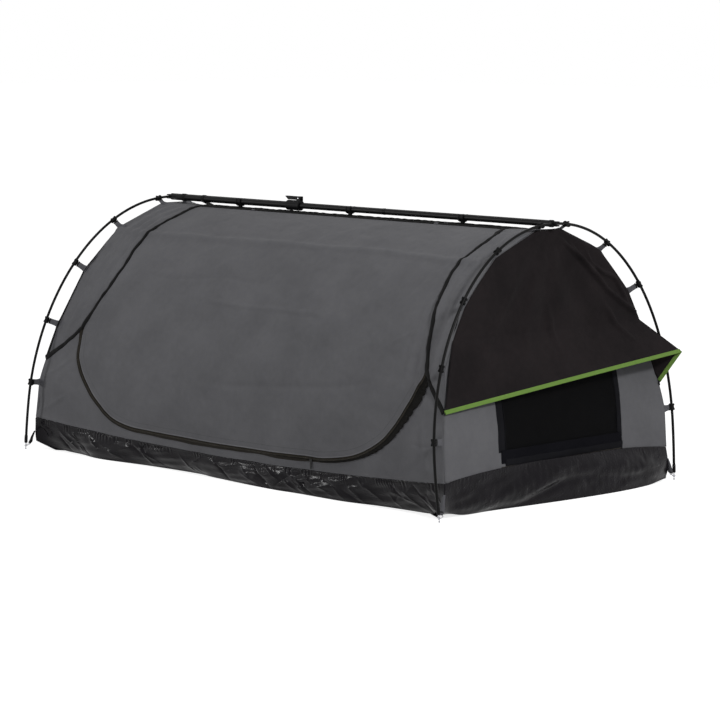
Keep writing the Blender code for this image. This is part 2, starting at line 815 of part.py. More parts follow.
def wall_foot_path():
    """The lower edge of a side wall, matched point by point to the door's path."""
    inner = door_path()
    corner_rows = 4
    sides = len(door_row_shares) - branch_row
    outer = []
    for index, (share, angle) in enumerate(inner):
        if index < corner_rows:
            low = tub_angle(0)
            outer.append((0, blend(radians(seam_end_angle), low, index / corner_rows)))
        elif index == corner_rows:
            outer.append((0, tub_angle(0)))
        elif index < sides:
            at = blend(0, inner[sides - 1][0], (index - corner_rows) / (sides - 1 - corner_rows))
            outer.append((at, tub_angle(at)))
        elif index < len(inner) - sides:
            outer.append((share, tub_angle(share)))
        else:
            back = len(inner) - 1 - index
            if back < corner_rows:
                outer.append((1, blend(radians(seam_end_angle), tub_angle(1), back / corner_rows)))
            elif back == corner_rows:
                outer.append((1, tub_angle(1)))
            else:
                reach = 1 - inner[len(inner) - sides][0]
                at = 1 - reach * (back - corner_rows) / (sides - 1 - corner_rows)
                outer.append((at, tub_angle(at)))
    return outer


def add_side_wall(name, side):
    inner = door_path()
    outer = wall_foot_path()
    rows = []
    steps = 3
    for step in range(steps + 1):
        share = step / steps
        row = []
        for (a, b), (c, d) in zip(inner, outer):
            angle = blend(b, d, share) - zip_angle * (1 - share) * wall_tuck_share
            row.append(canvas_point(blend(a, c, share), on_side(angle, side)))
        rows.append(row)
    keep(sheet(name, rows, canvas_thickness, outward_from_middle), canvas_grey, 0.9)


def lowered(point, depth):
    """A point moved in from the outer face towards the inside."""
    flatness_share = canvas_half_width / canvas_top
    inward = Vector((0, -point.y, (canvas_spring_height - point.z) * flatness_share)).normalized()
    return point + inward * depth


def door_rows(side, drop=0.0):
    rows = []
    top = []
    top_start, top_end = door_top_shares
    for index in range(door_columns + 1):
        share = blend(top_start + zip_share, top_end - zip_share, index / door_columns)
        point = canvas_point(share, pi / 2)
        point.y = side * (hinge_y + hinge_gap)
        point.z = hinge_z
        top.append(lowered(point, drop))
    rows.append(top)
    for row, (angle, foot_share, head_share) in enumerate(door_row_shares):
        line = []
        last = row == len(door_row_shares) - 1
        for index in range(door_columns + 1):
            across = index / door_columns
            share = blend(foot_share + zip_share, head_share - zip_share, across)
            at = bottom_angle(across) + zip_angle if last else radians(angle)
            point = canvas_point(share, on_side(at, side))
            line.append(lowered(point, drop))
        rows.append(line)
    return rows


def add_doors(prefix, side):
    hinge = Vector((0, side * (hinge_y + hinge_gap), hinge_z))
    canvas = sheet(prefix + "_door_canvas", door_rows(side), canvas_thickness, outward_from_middle)
    keep(seat_origin(canvas, hinge), canvas_grey, 0.9)
    net = sheet(prefix + "_door_mesh", door_rows(side, mesh_drop), mesh_thickness, outward_from_middle)
    keep(seat_origin(net, hinge), (0.02, 0.02, 0.02), 0.8)


def add_ridge_strip():
    rows = []
    top_start, top_end = door_top_shares
    for step in range(5):
        across = blend(-hinge_y, hinge_y, step / 4)
        row = []
        for index in range(door_columns + 1):
            share = blend(top_start + seam_share, top_end - seam_share, index / door_columns)
            point = canvas_point(share, pi / 2)
            row.append(Vector((point.x, across, hinge_z)))
        rows.append(row)
    keep(sheet("ridge_strip", rows, canvas_thickness, above), canvas_grey, 0.9)


def arch_angles(end):
    """Angles of the wall's and then the hood's own points up the near side of an arch."""
    share = 0 if end == "foot" else 1
    low = [angle for at, angle in wall_foot_path() if at == share and angle > tub_angle(share)]
    hood = [arch for (at, arch), seam in hood_path(end) if arch < pi / 2]
    return sorted(low)[:-1] + hood[:-1]


end_wall_columns = 10


def end_wall_rows(end):
    """Rows of an end wall from the tub's edge up, inside the canvas arch."""
    share = 0 if end == "foot" else 1
    sign = -1 if end == "foot" else 1
    shrink = 1 - end_wall_shrink / canvas_half_width
    rows = []
    for angle in [tub_angle(share)] + arch_angles(end):
        edge = canvas_point(share, angle)
        half = abs(edge.y) * shrink
        row = []
        for index in range(end_wall_columns + 1):
            across = blend(-half, half, index / end_wall_columns)
            if rows:
                z = blend(end_wall_centre_height, edge.z, shrink)
            else:
                z = tub_end_height(across / half) + tub_seam_lap
            row.append(Vector((canvas_end_x(z, end) - sign * end_wall_recess, across, z)))
        rows.append(row)
    return rows


def add_end_walls():
    foot = sheet("foot_wall", end_wall_rows("foot"), canvas_thickness, behind)
    keep(foot, canvas_grey, 0.9)
    head = mesh_from(sheet("head_wall", end_wall_rows("head"), canvas_thickness, ahead))
    height = window_top_height - window_foot_height
    middle_height = (window_top_height + window_foot_height) / 2
    middle = Vector((canvas_end_x(window_foot_height, "head"), window_offset, middle_height))
    size = Vector((window_cut_depth, window_half_width * 2, height))
    head = combine(head, box("window_hole", size, middle), "DIFFERENCE")
    head.name = "head_wall"
    keep(head, canvas_grey, 0.9)


window_columns = 4


def end_wall_levels(end):
    """Height and x of the end wall's face at each of its rows."""
    middles = [row[end_wall_columns // 2] for row in end_wall_rows(end)]
    return [(point.z, point.x) for point in middles]


def end_wall_x(height, levels):
    for (low, low_x), (high, high_x) in zip(levels, levels[1:]):
        if low <= height <= high:
            return blend(low_x, high_x, (height - low) / (high - low))
    return levels[-1][1]


def window_rows(drop, margin):
    """Rows of a window layer, a depth inside the end wall's face and a margin inside the opening's edge."""
    rows = []
    half = window_half_width - margin
    top, foot = window_top_height - margin, window_foot_height + margin
    levels = end_wall_levels("head")
    between = [height for height, x in levels if foot < height < top]
    for z in [top] + between[::-1] + [foot]:
        x = end_wall_x(z, levels) - drop
        across = [blend(-half, half, index / window_columns) for index in range(window_columns + 1)]
        rows.append([Vector((x, window_offset + y, z)) for y in across])
    return rows


def add_window():
    """Mesh in the end wall's opening, and a canvas cover that hangs behind it from its top edge."""
    net = sheet("window_mesh", window_rows(0, window_gap), mesh_thickness, ahead)
    keep(net, (0.02, 0.02, 0.02), 0.8)
    rows = window_rows(canvas_thickness + window_gap, -window_lap)
    hinge = rows[0][window_columns // 2]
    panel = sheet("window_panel", rows, canvas_thickness, ahead)
    keep(seat_origin(panel, hinge), (0.008, 0.008, 0.010), 0.8)


awning_stand_off = 0.0003
awning_columns = 22
awning_rows = 8
awning_drops = 5
awning_near_corner = Vector((
    canvas_end_x(awning_near_height, "head") + awning_near_reach,
    awning_near_clearance - canvas_half_width, awning_near_height))
awning_far_corner = Vector((
    canvas_end_x(awning_far_height, "head") + awning_far_reach,
    canvas_half_width + awning_far_overhang, awning_far_height))
awning_return_end = Vector((
    canvas_end_x(awning_return_height, "head") + awning_return_reach,
    canvas_half_width - awning_return_clearance, awning_return_height))


def awning_face_x(height):
    return canvas_end_x(height, "head") + awning_stand_off + canvas_thickness


def awning_fold(across, height, half):
    """How far the flap's cloth stands out, in folds that spread from the top of the arch."""
    down = canvas_top - height
    wave = (1 - cos(atan2(across, down) * awning_fold_count + awning_fold_lean)) / 2
    near_edge = max(0, 1 - abs(across / half) ** awning_fold_edge_power)
    return awning_fold_depth * wave * near_edge * smooth_step(hypot(across, down) / awning_fold_reach)


def fold_left(share):
    """How much of a fold is left down the hanging flap; both its edges lie flat."""
    return smooth_step(share / awning_fold_start_share) * (1 - smooth_step(share / awning_fold_end_share))


def flap_half(height):
    """Half-width of the flap at a height, a hand's breadth of thread inside the arch."""
    top = canvas_top - canvas_spring_height
    angle = asin((height - canvas_spring_height) / top)
    return abs(canvas_point(1, angle).y) - awning_inset


def flap_columns():
    """Top and bottom ends of each column of the hanging flap, with the folded return at the far side."""
    half = flap_half(awning_fold_height)
    top_z = awning_fold_height - seam_gap / 2
    columns = []
    for index in range(awning_columns + 1):
        share = index / awning_columns
        top = Vector((awning_face_x(awning_fold_height), blend(-half, half, share), top_z))
        columns.append((top, blend(awning_near_corner, awning_far_corner, share)))
    fold_end = columns[-1][0]
    inner_top = fold_end + Vector((-awning_stand_off, awning_inset / 2, -awning_inset / 2))
    for share in return_shares:
        top = blend(fold_end, inner_top, share)
        columns.append((top, blend(awning_far_corner, awning_return_end, share)))
    return columns


def flap_rows(end_share, steps, columns, folded=False):
    rows = []
    half = flap_half(awning_fold_height)
    for step in range(steps + 1):
        share = end_share * step / steps
        row = [blend(top, bottom, share) for top, bottom in columns]
        if folded:
            for index in range(awning_columns + 1):
                row[index].x += fold_left(share) * awning_fold(columns[index][0].y, awning_fold_height, half)
        rows.append(row)
    return rows


def add_awning():
    low = asin((awning_fold_height - canvas_spring_height) / (canvas_top - canvas_spring_height))
    rows = []
    for step in range(awning_rows + 1):
        climb = step / awning_rows
        edge = canvas_point(1, blend(low, radians(awning_top_angle), climb))
        z = edge.z - awning_inset / 2 * climb if rows else awning_fold_height + seam_gap / 2
        half = abs(edge.y) - awning_inset
        x = awning_face_x(z)
        across = [blend(-half, half, index / awning_columns) for index in range(awning_columns + 1)]
        clear = smooth_step((z - awning_fold_height) / awning_fold_clear_height) if rows else 0
        rows.append([Vector((x + clear * awning_fold(y, z, half), y, z)) for y in across])
    keep(sheet("awning_upper", rows, canvas_thickness, ahead), flap_black, 0.85)

    hinge = Vector((awning_face_x(awning_fold_height), 0, awning_fold_height))
    columns = flap_columns()
    rows = flap_rows(1 - flap_hem_share, awning_drops, columns, True)
    flap = sheet("awning_flap", rows, canvas_thickness, ahead)
    keep(seat_origin(flap, hinge), flap_black, 0.85)

    face = []
    for index, (top, bottom) in enumerate(columns):
        fall = top - bottom
        sides = []
        if index > 0:
            sides.append((bottom - columns[index - 1][1]).cross(fall).normalized())
        if index < len(columns) - 1:
            sides.append((columns[index + 1][1] - bottom).cross(fall).normalized())
        mitre = (sides[0] + sides[-1]) / (1 + sides[0].dot(sides[-1]))
        lift = mitre * (trim_thickness + seam_gap * 2)
        face.append((bottom + fall * (trim_width / fall.length) + lift, bottom + lift))
    trim = sheet("awning_trim", flap_rows(1, 1, face), trim_thickness, ahead)
    keep(seat_origin(trim, hinge), (0.16, 0.26, 0.055), 0.8)


tub_end_steps = end_wall_columns
end_share_limit = 0.90


def tub_fold(across, climb):
    """The large soft fold that rises across an end of the tub."""
    for (start, low), (end, high) in zip(tub_fold_shares, tub_fold_shares[1:]):
        if start <= across <= end:
            crest = blend(low, high, smooth_step((across - start) / (end - start)))
            off = min(1, abs(climb - crest) / (2 * tub_fold_width_share))
            return tub_fold_depth * (1 - smooth_step(off)) * (1 - across ** 4)
    return 0


def add_tub():
    """PVC tub with its corner straps: a flat floor, and walls that flare up to the canvas seam."""
    outer = wall_foot_path()
    low_shares = [share for share, angle in outer if angle == tub_angle(share)]
    end_line = [blend(-1, 1, index / tub_end_steps) for index in range(1, tub_end_steps)]

    def edge_point(share, side):
        point = canvas_point(share, on_side(tub_angle(share), side))
        point.z -= tub_seam_drop
        return point

    def end_point(end, across):
        half = abs(edge_point(0 if end == "foot" else 1, -1).y)
        z = tub_end_height(across)
        return Vector((canvas_end_x(z, end), across * half, z))

    top = [edge_point(share, -1) for share in low_shares]
    top += [end_point("head", across) for across in end_line]
    top += [edge_point(share, 1) for share in reversed(low_shares)]
    top += [end_point("foot", -across) for across in end_line]

    def floor_point(point):
        """The point of the floor's rounded outline under a point of the top edge."""
        start, end = canvas_end_x(tub_edge_height, "foot"), canvas_end_x(tub_edge_height, "head")
        x = blend(tub_foot_x, tub_head_x, (point.x - start) / (end - start))
        x = min(max(x, tub_foot_x), tub_head_x)
        y = point.y * tub_half_width / canvas_half_width
        y = min(max(y, -tub_half_width), tub_half_width)
        corner = tub_corner_radius
        inner_x = min(max(x, tub_foot_x + corner), tub_head_x - corner)
        inner_y = min(max(y, -tub_half_width + corner), tub_half_width - corner)
        away = Vector((x - inner_x, y - inner_y, 0))
        if away.x and away.y and away.length > corner:
            away = away.normalized() * corner
        return Vector((inner_x, inner_y, 0)) + away

    floor = [floor_point(point) for point in top]

    def wall_ring(climb, bulge):
        ring = []
        for high, low in zip(top, floor):
            away = Vector((high.x - low.x, high.y - low.y, 0)).normalized()
            is_end = abs(high.y) < canvas_half_width * end_share_limit
            fold = tub_fold(high.y / canvas_half_width, climb) if is_end else 0
            ring.append(blend(low, high, climb) + away * (bulge + fold))
        return ring

    middle = wall_ring(tub_bulge_share, tub_wall_bulge)
    loops = [
        top, wall_ring(tub_high_share, tub_wall_bulge * tub_high_bulge_share), middle,
        wall_ring(tub_low_share, tub_wall_bulge * tub_low_bulge_share), floor,
    ]
    for length_share, width_share in floor_ring_shares:
        loops.append([Vector((point.x * length_share, point.y * width_share, 0)) for point in floor])

    form = bmesh.new()
    rings = [[form.verts.new(point) for point in loop] for loop in loops]
    for upper, lower in zip(rings, rings[1:]):
        for index in range(len(upper)):
            after = (index + 1) % len(upper)
            form.faces.new((upper[index], lower[index], lower[after], upper[after]))
    form.faces.new(list(reversed(rings[-1])))
    bmesh.ops.recalc_face_normals(form, faces=form.faces)
    form.faces.ensure_lookup_table()
    if form.faces[-1].normal.z > 0:
        bmesh.ops.reverse_faces(form, faces=form.faces)
    data = bpy.data.meshes.new("pvc_tub")
    form.to_mesh(data)
    form.free()
    tub = new_object("pvc_tub", data)
    wall = tub.modifiers.new("wall", "SOLIDIFY")
    wall.thickness = tub_thickness
    wall.offset = -1
    tub = mesh_from(tub)
    head_start = len(low_shares) - 1
    far_start = len(low_shares) + len(end_line)
    feet = (
        ("1", "foot", -1, middle[0]), ("2", "foot", 1, middle[far_start + head_start]),
        ("3", "head", -1, middle[head_start]), ("4", "head", 1, middle[far_start]),
    )
    for number, end, side, corner in feet:
        tub = combine(tub, add_foot(number, end, side, corner), "UNION")
    tub.name = "pvc_tub"
    keep(tub, (0.012, 0.011, 0.013), 0.25)


def rounded_span(half, end_distance, radius):
    """How far a rounded rectangle reaches sideways when a row lies near its end."""
    if end_distance >= radius:
        return half
    return half - radius + sqrt(max(0, radius * radius - (radius - end_distance) ** 2))


mattress_length_steps = 40
mattress_width_steps = 10


def add_mattress():
    """Foam mattress with a crown, drawn-in sides and sewn cross channels."""
    half_length = mattress_length / 2
    half_width = mattress_width / 2
    middle_x = (tub_head_x + tub_foot_x) / 2
    base = tub_thickness + seam_gap
    full = mattress_edge_thickness + mattress_crown

    bulge_height = base + full * mattress_bulge_share
    end_crown_share = mattress_low_crown_share

    loops = []
    for index in range(mattress_length_steps + 1):
        x = blend(-half_length, half_length, index / mattress_length_steps)
        end_distance = max(half_length - abs(x), mattress_corner_radius * mattress_end_share)
        half = rounded_span(half_width, end_distance, mattress_corner_radius)
        end_share = smooth_step((half_length - abs(x)) / (mattress_corner_radius * 2))
        wave = abs(sin(pi * (x + half_length) / mattress_channel_pitch))
        channel = mattress_channel_depth * (1 - min(1, wave * mattress_channel_sharpness)) * end_share
        loop = []
        for step in range(mattress_width_steps + 1):
            across = blend(-1, 1, step / mattress_width_steps)
            crown = mattress_crown * (1 - across ** 4) * blend(end_crown_share, 1, end_share)
            top_half = half - mattress_draw_in * mattress_top_share
            loop.append((across * top_half, base + mattress_edge_thickness + crown - channel))
        loop.append((half, bulge_height))
        for step in range(mattress_width_steps + 1):
            across = blend(1, -1, step / mattress_width_steps)
            loop.append((across * (half - mattress_draw_in), base))
        loop.append((-half, bulge_height))
        loops.append([Vector((middle_x + x, y, z)) for y, z in loop])
    form = bmesh.new()
    rings = [[form.verts.new(point) for point in loop] for loop in loops]
    for first, second in zip(rings, rings[1:]):
        for index in range(len(first)):
            after = (index + 1) % len(first)
            form.faces.new((first[index], second[index], second[after], first[after]))
    form.faces.new(rings[0])
    form.faces.new(list(reversed(rings[-1])))
    bmesh.ops.recalc_face_normals(form, faces=form.faces)
    data = bpy.data.meshes.new("mattress")
    form.to_mesh(data)
    form.free()
    keep(new_object("mattress", data), (0.18, 0.20, 0.21), 0.9)


slider_length = 0.014
slider_width = 0.009
slider_thickness = 0.004
slider_lift = 0.0006
slider_pull_length = 0.030
slider_pull_width = 0.007
slider_pull_thickness = 0.0016
slider_rest_share = 0.70
slider_end_share = 0.55


def add_slider(name, side):
    """Zip slider with its pull tab, on the wall's tape under the door."""
    first, second = slider_places(side)
    along = (second - first).normalized()
    outward = Vector((0, side, 0))
    outward = (outward - along * outward.dot(along)).normalized()
    down = along.cross(outward)
    if down.z > 0:
        along = -along
        down = -down
    turn = framed(along, outward, down, Vector((0, 0, 0)))
    body = box(name, Vector((slider_length, slider_thickness, slider_width)), first, turn)
    reach = slider_width / 2 + slider_pull_length / 2 - slider_pull_thickness
    pull_size = Vector((slider_pull_width, slider_pull_thickness, slider_pull_length))
    pull_middle = first + down * reach + outward * (slider_thickness - slider_pull_thickness) / 2
    pull = box(name + "_pull", pull_size, pull_middle, turn)
    body = combine(body, pull, "UNION")
    body.name = name
    keep(body, black_plastic, 0.4)


def slider_places(side):
    """The slider's middle at rest and at the other end of its straight run."""
    places = []
    for share in (slider_rest_share, slider_end_share):
        low_angle, foot_share, head_share = door_row_shares[-1]
        high = bottom_angle((share - foot_share) / (head_share - foot_share))
        angle = high - zip_angle - slider_width / (canvas_top - canvas_spring_height) / 2
        point = canvas_point(share, on_side(angle, side))
        point.y += side * (slider_thickness / 2 + slider_lift)
        places.append(point)
    return places


add_hoop("foot_hoop", "foot")
add_hoop("head_hoop", "head")
for end in ("foot", "head"):
    for index, clip_angle in enumerate(all_clip_angles):
        side_name = "near" if index < len(clip_angles) else "far"
        number = index + 1 if index < len(clip_angles) else len(all_clip_angles) - index
        add_hoop_clip(f"{end}_{side_name}_clip_{number}", end, clip_angle)

foot_tube_x = add_fork("foot_fork", foot_hoop_top_x, 1, outer_tube_diameter - 2 * tube_wall)
head_tube_x = add_fork("head_fork", head_hoop_top_x, -1, inner_tube_diameter - 2 * tube_wall)
clamp_foot_x, clamp_head_x = add_clamp()
add_tube("ridge_outer_tube", foot_tube_x + pole_fit, clamp_head_x - clamp_lip - pole_fit, outer_tube_diameter)
add_tube("ridge_inner_tube", clamp_head_x - inner_tube_overlap, head_tube_x - pole_fit, inner_tube_diameter)
for index, clip_x in enumerate(ridge_clip_xs):
    tube = outer_tube_diameter if clip_x < clamp_foot_x else inner_tube_diameter
    add_ridge_clip(f"ridge_clip_{index + 1}", clip_x, tube)

keep(sheet("foot_hood", hood_rows("foot", 3), canvas_thickness, outward_from_middle), canvas_grey, 0.9)
keep(sheet("head_hood", hood_rows("head", 3), canvas_thickness, outward_from_middle), canvas_grey, 0.9)
add_side_wall("near_wall", -1)
add_side_wall("far_wall", 1)
add_ridge_strip()
add_doors("near", -1)
add_doors("far", 1)
add_end_walls()
add_window()
add_awning()
add_tub()
add_mattress()
add_slider("near_zip_slider", -1)
add_slider("far_zip_slider", 1)
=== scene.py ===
from math import asin, cos, pi, radians, sin, sqrt

import bmesh
import bpy
import numpy as np
from mathutils import Matrix, Vector


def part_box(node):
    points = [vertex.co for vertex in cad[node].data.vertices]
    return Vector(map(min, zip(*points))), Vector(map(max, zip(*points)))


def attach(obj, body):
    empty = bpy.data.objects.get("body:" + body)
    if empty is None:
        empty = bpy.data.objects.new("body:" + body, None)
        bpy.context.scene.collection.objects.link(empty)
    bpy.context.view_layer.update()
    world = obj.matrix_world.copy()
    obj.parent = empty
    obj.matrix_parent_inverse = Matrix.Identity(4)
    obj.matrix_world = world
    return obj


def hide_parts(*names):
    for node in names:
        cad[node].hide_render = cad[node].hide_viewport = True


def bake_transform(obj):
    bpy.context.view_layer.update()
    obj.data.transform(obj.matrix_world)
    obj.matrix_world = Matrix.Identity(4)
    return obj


# Swag bedroll: cloth, webbing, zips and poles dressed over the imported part.
# Metres. +X is the head end, -Y the near side, z 0 the ground.

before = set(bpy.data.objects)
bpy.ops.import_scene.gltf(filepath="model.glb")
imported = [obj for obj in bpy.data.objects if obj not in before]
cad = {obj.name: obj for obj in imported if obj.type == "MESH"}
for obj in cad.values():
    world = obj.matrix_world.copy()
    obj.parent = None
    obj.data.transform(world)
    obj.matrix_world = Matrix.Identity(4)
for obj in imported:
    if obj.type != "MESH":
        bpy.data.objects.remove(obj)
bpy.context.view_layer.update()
print("frame loaded")

cameraView = {
    "eye": (7.7387, -7.8552, 1.7763),
    "azimuth": 44.235,
    "elevation": 6.940,
    "roll": 0.429,
    "lens": 135.9,
    "sensor": 36.0,
}


def buildCamera():
    az, el, roll = (radians(cameraView[key]) for key in ("azimuth", "elevation", "roll"))
    look = np.array((-sin(az) * cos(el), cos(az) * cos(el), -sin(el)))
    level = np.cross(look, (0, 0, 1))
    level /= np.linalg.norm(level)
    lift = np.cross(level, look)
    right = level * cos(roll) + lift * sin(roll)
    up = lift * cos(roll) - level * sin(roll)
    data = bpy.data.cameras.new("photoCamera")
    data.lens = cameraView["lens"]
    data.sensor_width = cameraView["sensor"]
    data.clip_end = 200
    holder = bpy.data.objects.new("photoCamera", data)
    turn = Matrix((right, up, -look)).transposed().to_4x4()
    holder.matrix_world = Matrix.Translation(cameraView["eye"]) @ turn
    bpy.context.scene.collection.objects.link(holder)
    bpy.context.scene.camera = holder


buildCamera()


# ---- materials ----

def linear(hexColour):  # sRGB hex to the linear colour that a socket takes
    parts = [int(hexColour[at:at + 2], 16) / 255 for at in (1, 3, 5)]
    return tuple(v / 12.92 if v <= 0.04045 else ((v + 0.055) / 1.055) ** 2.4 for v in parts) + (1,)


def addNode(tree, kind, settings=None, links=None):
    # settings: names of properties, or inputs by name or number; links: input to another node's output
    node = tree.nodes.new(kind)
    for key, value in (settings or {}).items():
        if isinstance(key, int) or key in node.inputs:
            node.inputs[key].default_value = value
        else:
            setattr(node, key, value)
    for key, source in (links or {}).items():
        tree.links.new(source, node.inputs[key])
    return node


def newMaterial(name, shaderSettings):
    made = bpy.data.materials.new(name)
    made.use_nodes = True
    tree = made.node_tree
    shader = tree.nodes["Principled BSDF"]
    for key, value in shaderSettings.items():
        shader.inputs[key].default_value = value
    return made, tree, shader


def stripes(millimetres):  # a wave texture's scale for one stripe each so many millimetres
    return 0.31416 / (millimetres / 1000)


def grainScale(millimetres):  # a noise texture's scale for grains of that size
    return 1000 / millimetres


def mottled(tree, shader, where, colours, grains, detail=3.0):
    # two tones that drift over the cloth: broad patches and a finer grain
    broad = addNode(tree, "ShaderNodeTexNoise", {"Scale": grainScale(grains[0]), "Detail": detail}, {"Vector": where})
    fine = addNode(tree, "ShaderNodeTexNoise", {"Scale": grainScale(grains[1]), "Detail": 2.0}, {"Vector": where})
    both = addNode(tree, "ShaderNodeMath", {"operation": "MULTIPLY_ADD", 1: 0.4},
                   {0: fine.outputs["Fac"], 2: broad.outputs["Fac"]})
    tones = addNode(tree, "ShaderNodeValToRGB", {}, {"Fac": both.outputs[0]})
    tones.color_ramp.elements[0].position = 0.50
    tones.color_ramp.elements[0].color = linear(colours[0])
    tones.color_ramp.elements[1].position = 0.90
    tones.color_ramp.elements[1].color = linear(colours[1])
    tree.links.new(tones.outputs["Color"], shader.inputs["Base Color"])
    return fine


def wovenCloth(name, colours, thread, rough, strength, sheen=0.0, ripstop=0.0, specular=0.2):
    # plain weave: two crossed wave textures on the cloth's own metres
    made, tree, shader = newMaterial(name, {
        "Roughness": rough, "Sheen Weight": sheen, "Sheen Roughness": 0.5, "IOR": 1.46, "Specular IOR Level": specular})
    place = addNode(tree, "ShaderNodeTexCoord")
    fine = mottled(tree, shader, place.outputs["Object"], colours, (170, 22))
    warp = addNode(tree, "ShaderNodeTexWave", {"bands_direction": "X", "Scale": stripes(thread), "Distortion": 0.6,
                   "Detail": 1.0, "Detail Scale": 0.4}, {"Vector": place.outputs["UV"]})
    weft = addNode(tree, "ShaderNodeTexWave", {"bands_direction": "Y", "Scale": stripes(thread), "Distortion": 0.6,
                   "Detail": 1.0, "Detail Scale": 0.4}, {"Vector": place.outputs["UV"]})
    cross = addNode(tree, "ShaderNodeMath", {"operation": "MAXIMUM"},
                    {0: warp.outputs["Fac"], 1: weft.outputs["Fac"]})
    height = cross.outputs[0]
    if ripstop:
        grid = [addNode(tree, "ShaderNodeTexWave", {"bands_direction": way, "Scale": stripes(ripstop)},
                        {"Vector": place.outputs["UV"]}) for way in "XY"]
        ribs = addNode(tree, "ShaderNodeMath", {"operation": "MAXIMUM"},
                       {0: grid[0].outputs["Fac"], 1: grid[1].outputs["Fac"]})
        sharp = addNode(tree, "ShaderNodeMath", {"operation": "POWER", 1: 14.0}, {0: ribs.outputs[0]})
        both = addNode(tree, "ShaderNodeMath", {"operation": "MULTIPLY_ADD", 1: 0.8},
                       {0: sharp.outputs[0], 2: cross.outputs[0]})
        height = both.outputs[0]
    bump = addNode(tree, "ShaderNodeBump", {"Strength": strength, "Distance": 0.0006}, {"Height": height})
    soft = addNode(tree, "ShaderNodeBump", {"Strength": 0.25, "Distance": 0.002},
                   {"Height": fine.outputs["Fac"], "Normal": bump.outputs["Normal"]})
    tree.links.new(soft.outputs["Normal"], shader.inputs["Normal"])
    return made


def ribbedTape(name, colour, wearAndSheen, rib, rough):
    # woven tape: ribs run across it, paler along the ribs' tops: wear, and a painted sheen where the rib tops catch the
    # light
    made, tree, shader = newMaterial(name, {"Roughness": rough, "IOR": 1.5, "Specular IOR Level": 0.12})
    place = addNode(tree, "ShaderNodeTexCoord")
    ribs = addNode(tree, "ShaderNodeTexWave", {"bands_direction": "X", "Scale": stripes(rib), "Distortion": 0.4,
                   "Detail": 1.0}, {"Vector": place.outputs["UV"]})
    patch = addNode(tree, "ShaderNodeTexNoise", {"Scale": grainScale(18), "Detail": 3.0},
                    {"Vector": place.outputs["Object"]})
    share = addNode(tree, "ShaderNodeMath", {"operation": "MULTIPLY"},
                    {0: ribs.outputs["Fac"], 1: patch.outputs["Fac"]})
    # the paler colour on the rib tops is partly wear, partly a painted sheen
    tone = addNode(tree, "ShaderNodeMix", {"data_type": "RGBA", 6: linear(colour), 7: linear(wearAndSheen)},
                   {0: share.outputs[0]})
    bump = addNode(tree, "ShaderNodeBump", {"Strength": 0.6, "Distance": 0.0006}, {"Height": ribs.outputs["Fac"]})
    tree.links.new(tone.outputs[2], shader.inputs["Base Color"])
    tree.links.new(bump.outputs["Normal"], shader.inputs["Normal"])
    return made


def hardFinish(name, colour, second, rough, metallic=0.0, grain=0.8, strength=0.15, coat=0.0, brushed=False,
               specular=0.25):
    # moulded, coated or plated surfaces: a fine skin grain and a slight drift of tone and gloss
    made, tree, shader = newMaterial(name, {"Metallic": metallic, "Coat Weight": coat, "Coat Roughness": 0.15,
                                     "Specular IOR Level": 0.5 if metallic else specular})
    place = addNode(tree, "ShaderNodeTexCoord")
    where = place.outputs["Object"]
    if brushed:
        stretch = addNode(tree, "ShaderNodeMapping", {"Scale": (0.06, 1, 1)}, {"Vector": where})
        where = stretch.outputs["Vector"]
    patch = addNode(tree, "ShaderNodeTexNoise", {"Scale": grainScale(25), "Detail": 4.0}, {"Vector": where})
    tone = addNode(tree, "ShaderNodeMix", {"data_type": "RGBA", 6: linear(colour), 7: linear(second)},
                   {0: patch.outputs["Fac"]})
    gloss = addNode(tree, "ShaderNodeMapRange", {"To Min": rough - 0.06, "To Max": rough + 0.08},
                    {"Value": patch.outputs["Fac"]})
    skin = addNode(tree, "ShaderNodeTexNoise", {"Scale": grainScale(grain), "Detail": 2.0}, {"Vector": where})
    bump = addNode(tree, "ShaderNodeBump", {"Strength": strength, "Distance": 0.0003}, {"Height": skin.outputs["Fac"]})
    tree.links.new(tone.outputs[2], shader.inputs["Base Color"])
    tree.links.new(gloss.outputs["Result"], shader.inputs["Roughness"])
    tree.links.new(bump.outputs["Normal"], shader.inputs["Normal"])
    return made


def coatedVinyl(name, colour, second, rough, strength):
    # PVC-coated polyester: glossy black skin, fine leathery emboss, small creases that catch the light
    made, tree, shader = newMaterial(name, {"IOR": 1.53, "Specular IOR Level": 0.085})
    place = addNode(tree, "ShaderNodeTexCoord")
    where = place.outputs["Object"]
    patch = addNode(tree, "ShaderNodeTexNoise", {"Scale": grainScale(90), "Detail": 5.0}, {"Vector": where})
    tone = addNode(tree, "ShaderNodeMix", {"data_type": "RGBA", 6: linear(colour), 7: linear(second)},
                   {0: patch.outputs["Fac"]})
    gloss = addNode(tree, "ShaderNodeMapRange", {"To Min": rough - 0.08, "To Max": rough + 0.14},
                    {"Value": patch.outputs["Fac"]})
    slant = addNode(tree, "ShaderNodeMapping", {"Rotation": (0.0, radians(32), 0.0), "Scale": (0.35, 1, 1.6)},
                    {"Vector": where})
    crease = addNode(tree, "ShaderNodeTexNoise", {"Scale": grainScale(14), "Detail": 3.0, "Roughness": 0.45,
                     "noise_type": "RIDGED_MULTIFRACTAL"}, {"Vector": slant.outputs["Vector"]})
    emboss = addNode(tree, "ShaderNodeTexVoronoi", {"Scale": grainScale(2.2)}, {"Vector": where})
    deep = addNode(tree, "ShaderNodeBump", {"Strength": strength, "Distance": 0.004}, {"Height": crease.outputs["Fac"]})
    skin = addNode(tree, "ShaderNodeBump", {"Strength": 0.2, "Distance": 0.0004},
                   {"Height": emboss.outputs["Distance"], "Normal": deep.outputs["Normal"]})
    tree.links.new(tone.outputs[2], shader.inputs["Base Color"])
    tree.links.new(gloss.outputs["Result"], shader.inputs["Roughness"])
    tree.links.new(skin.outputs["Normal"], shader.inputs["Normal"])
    return made


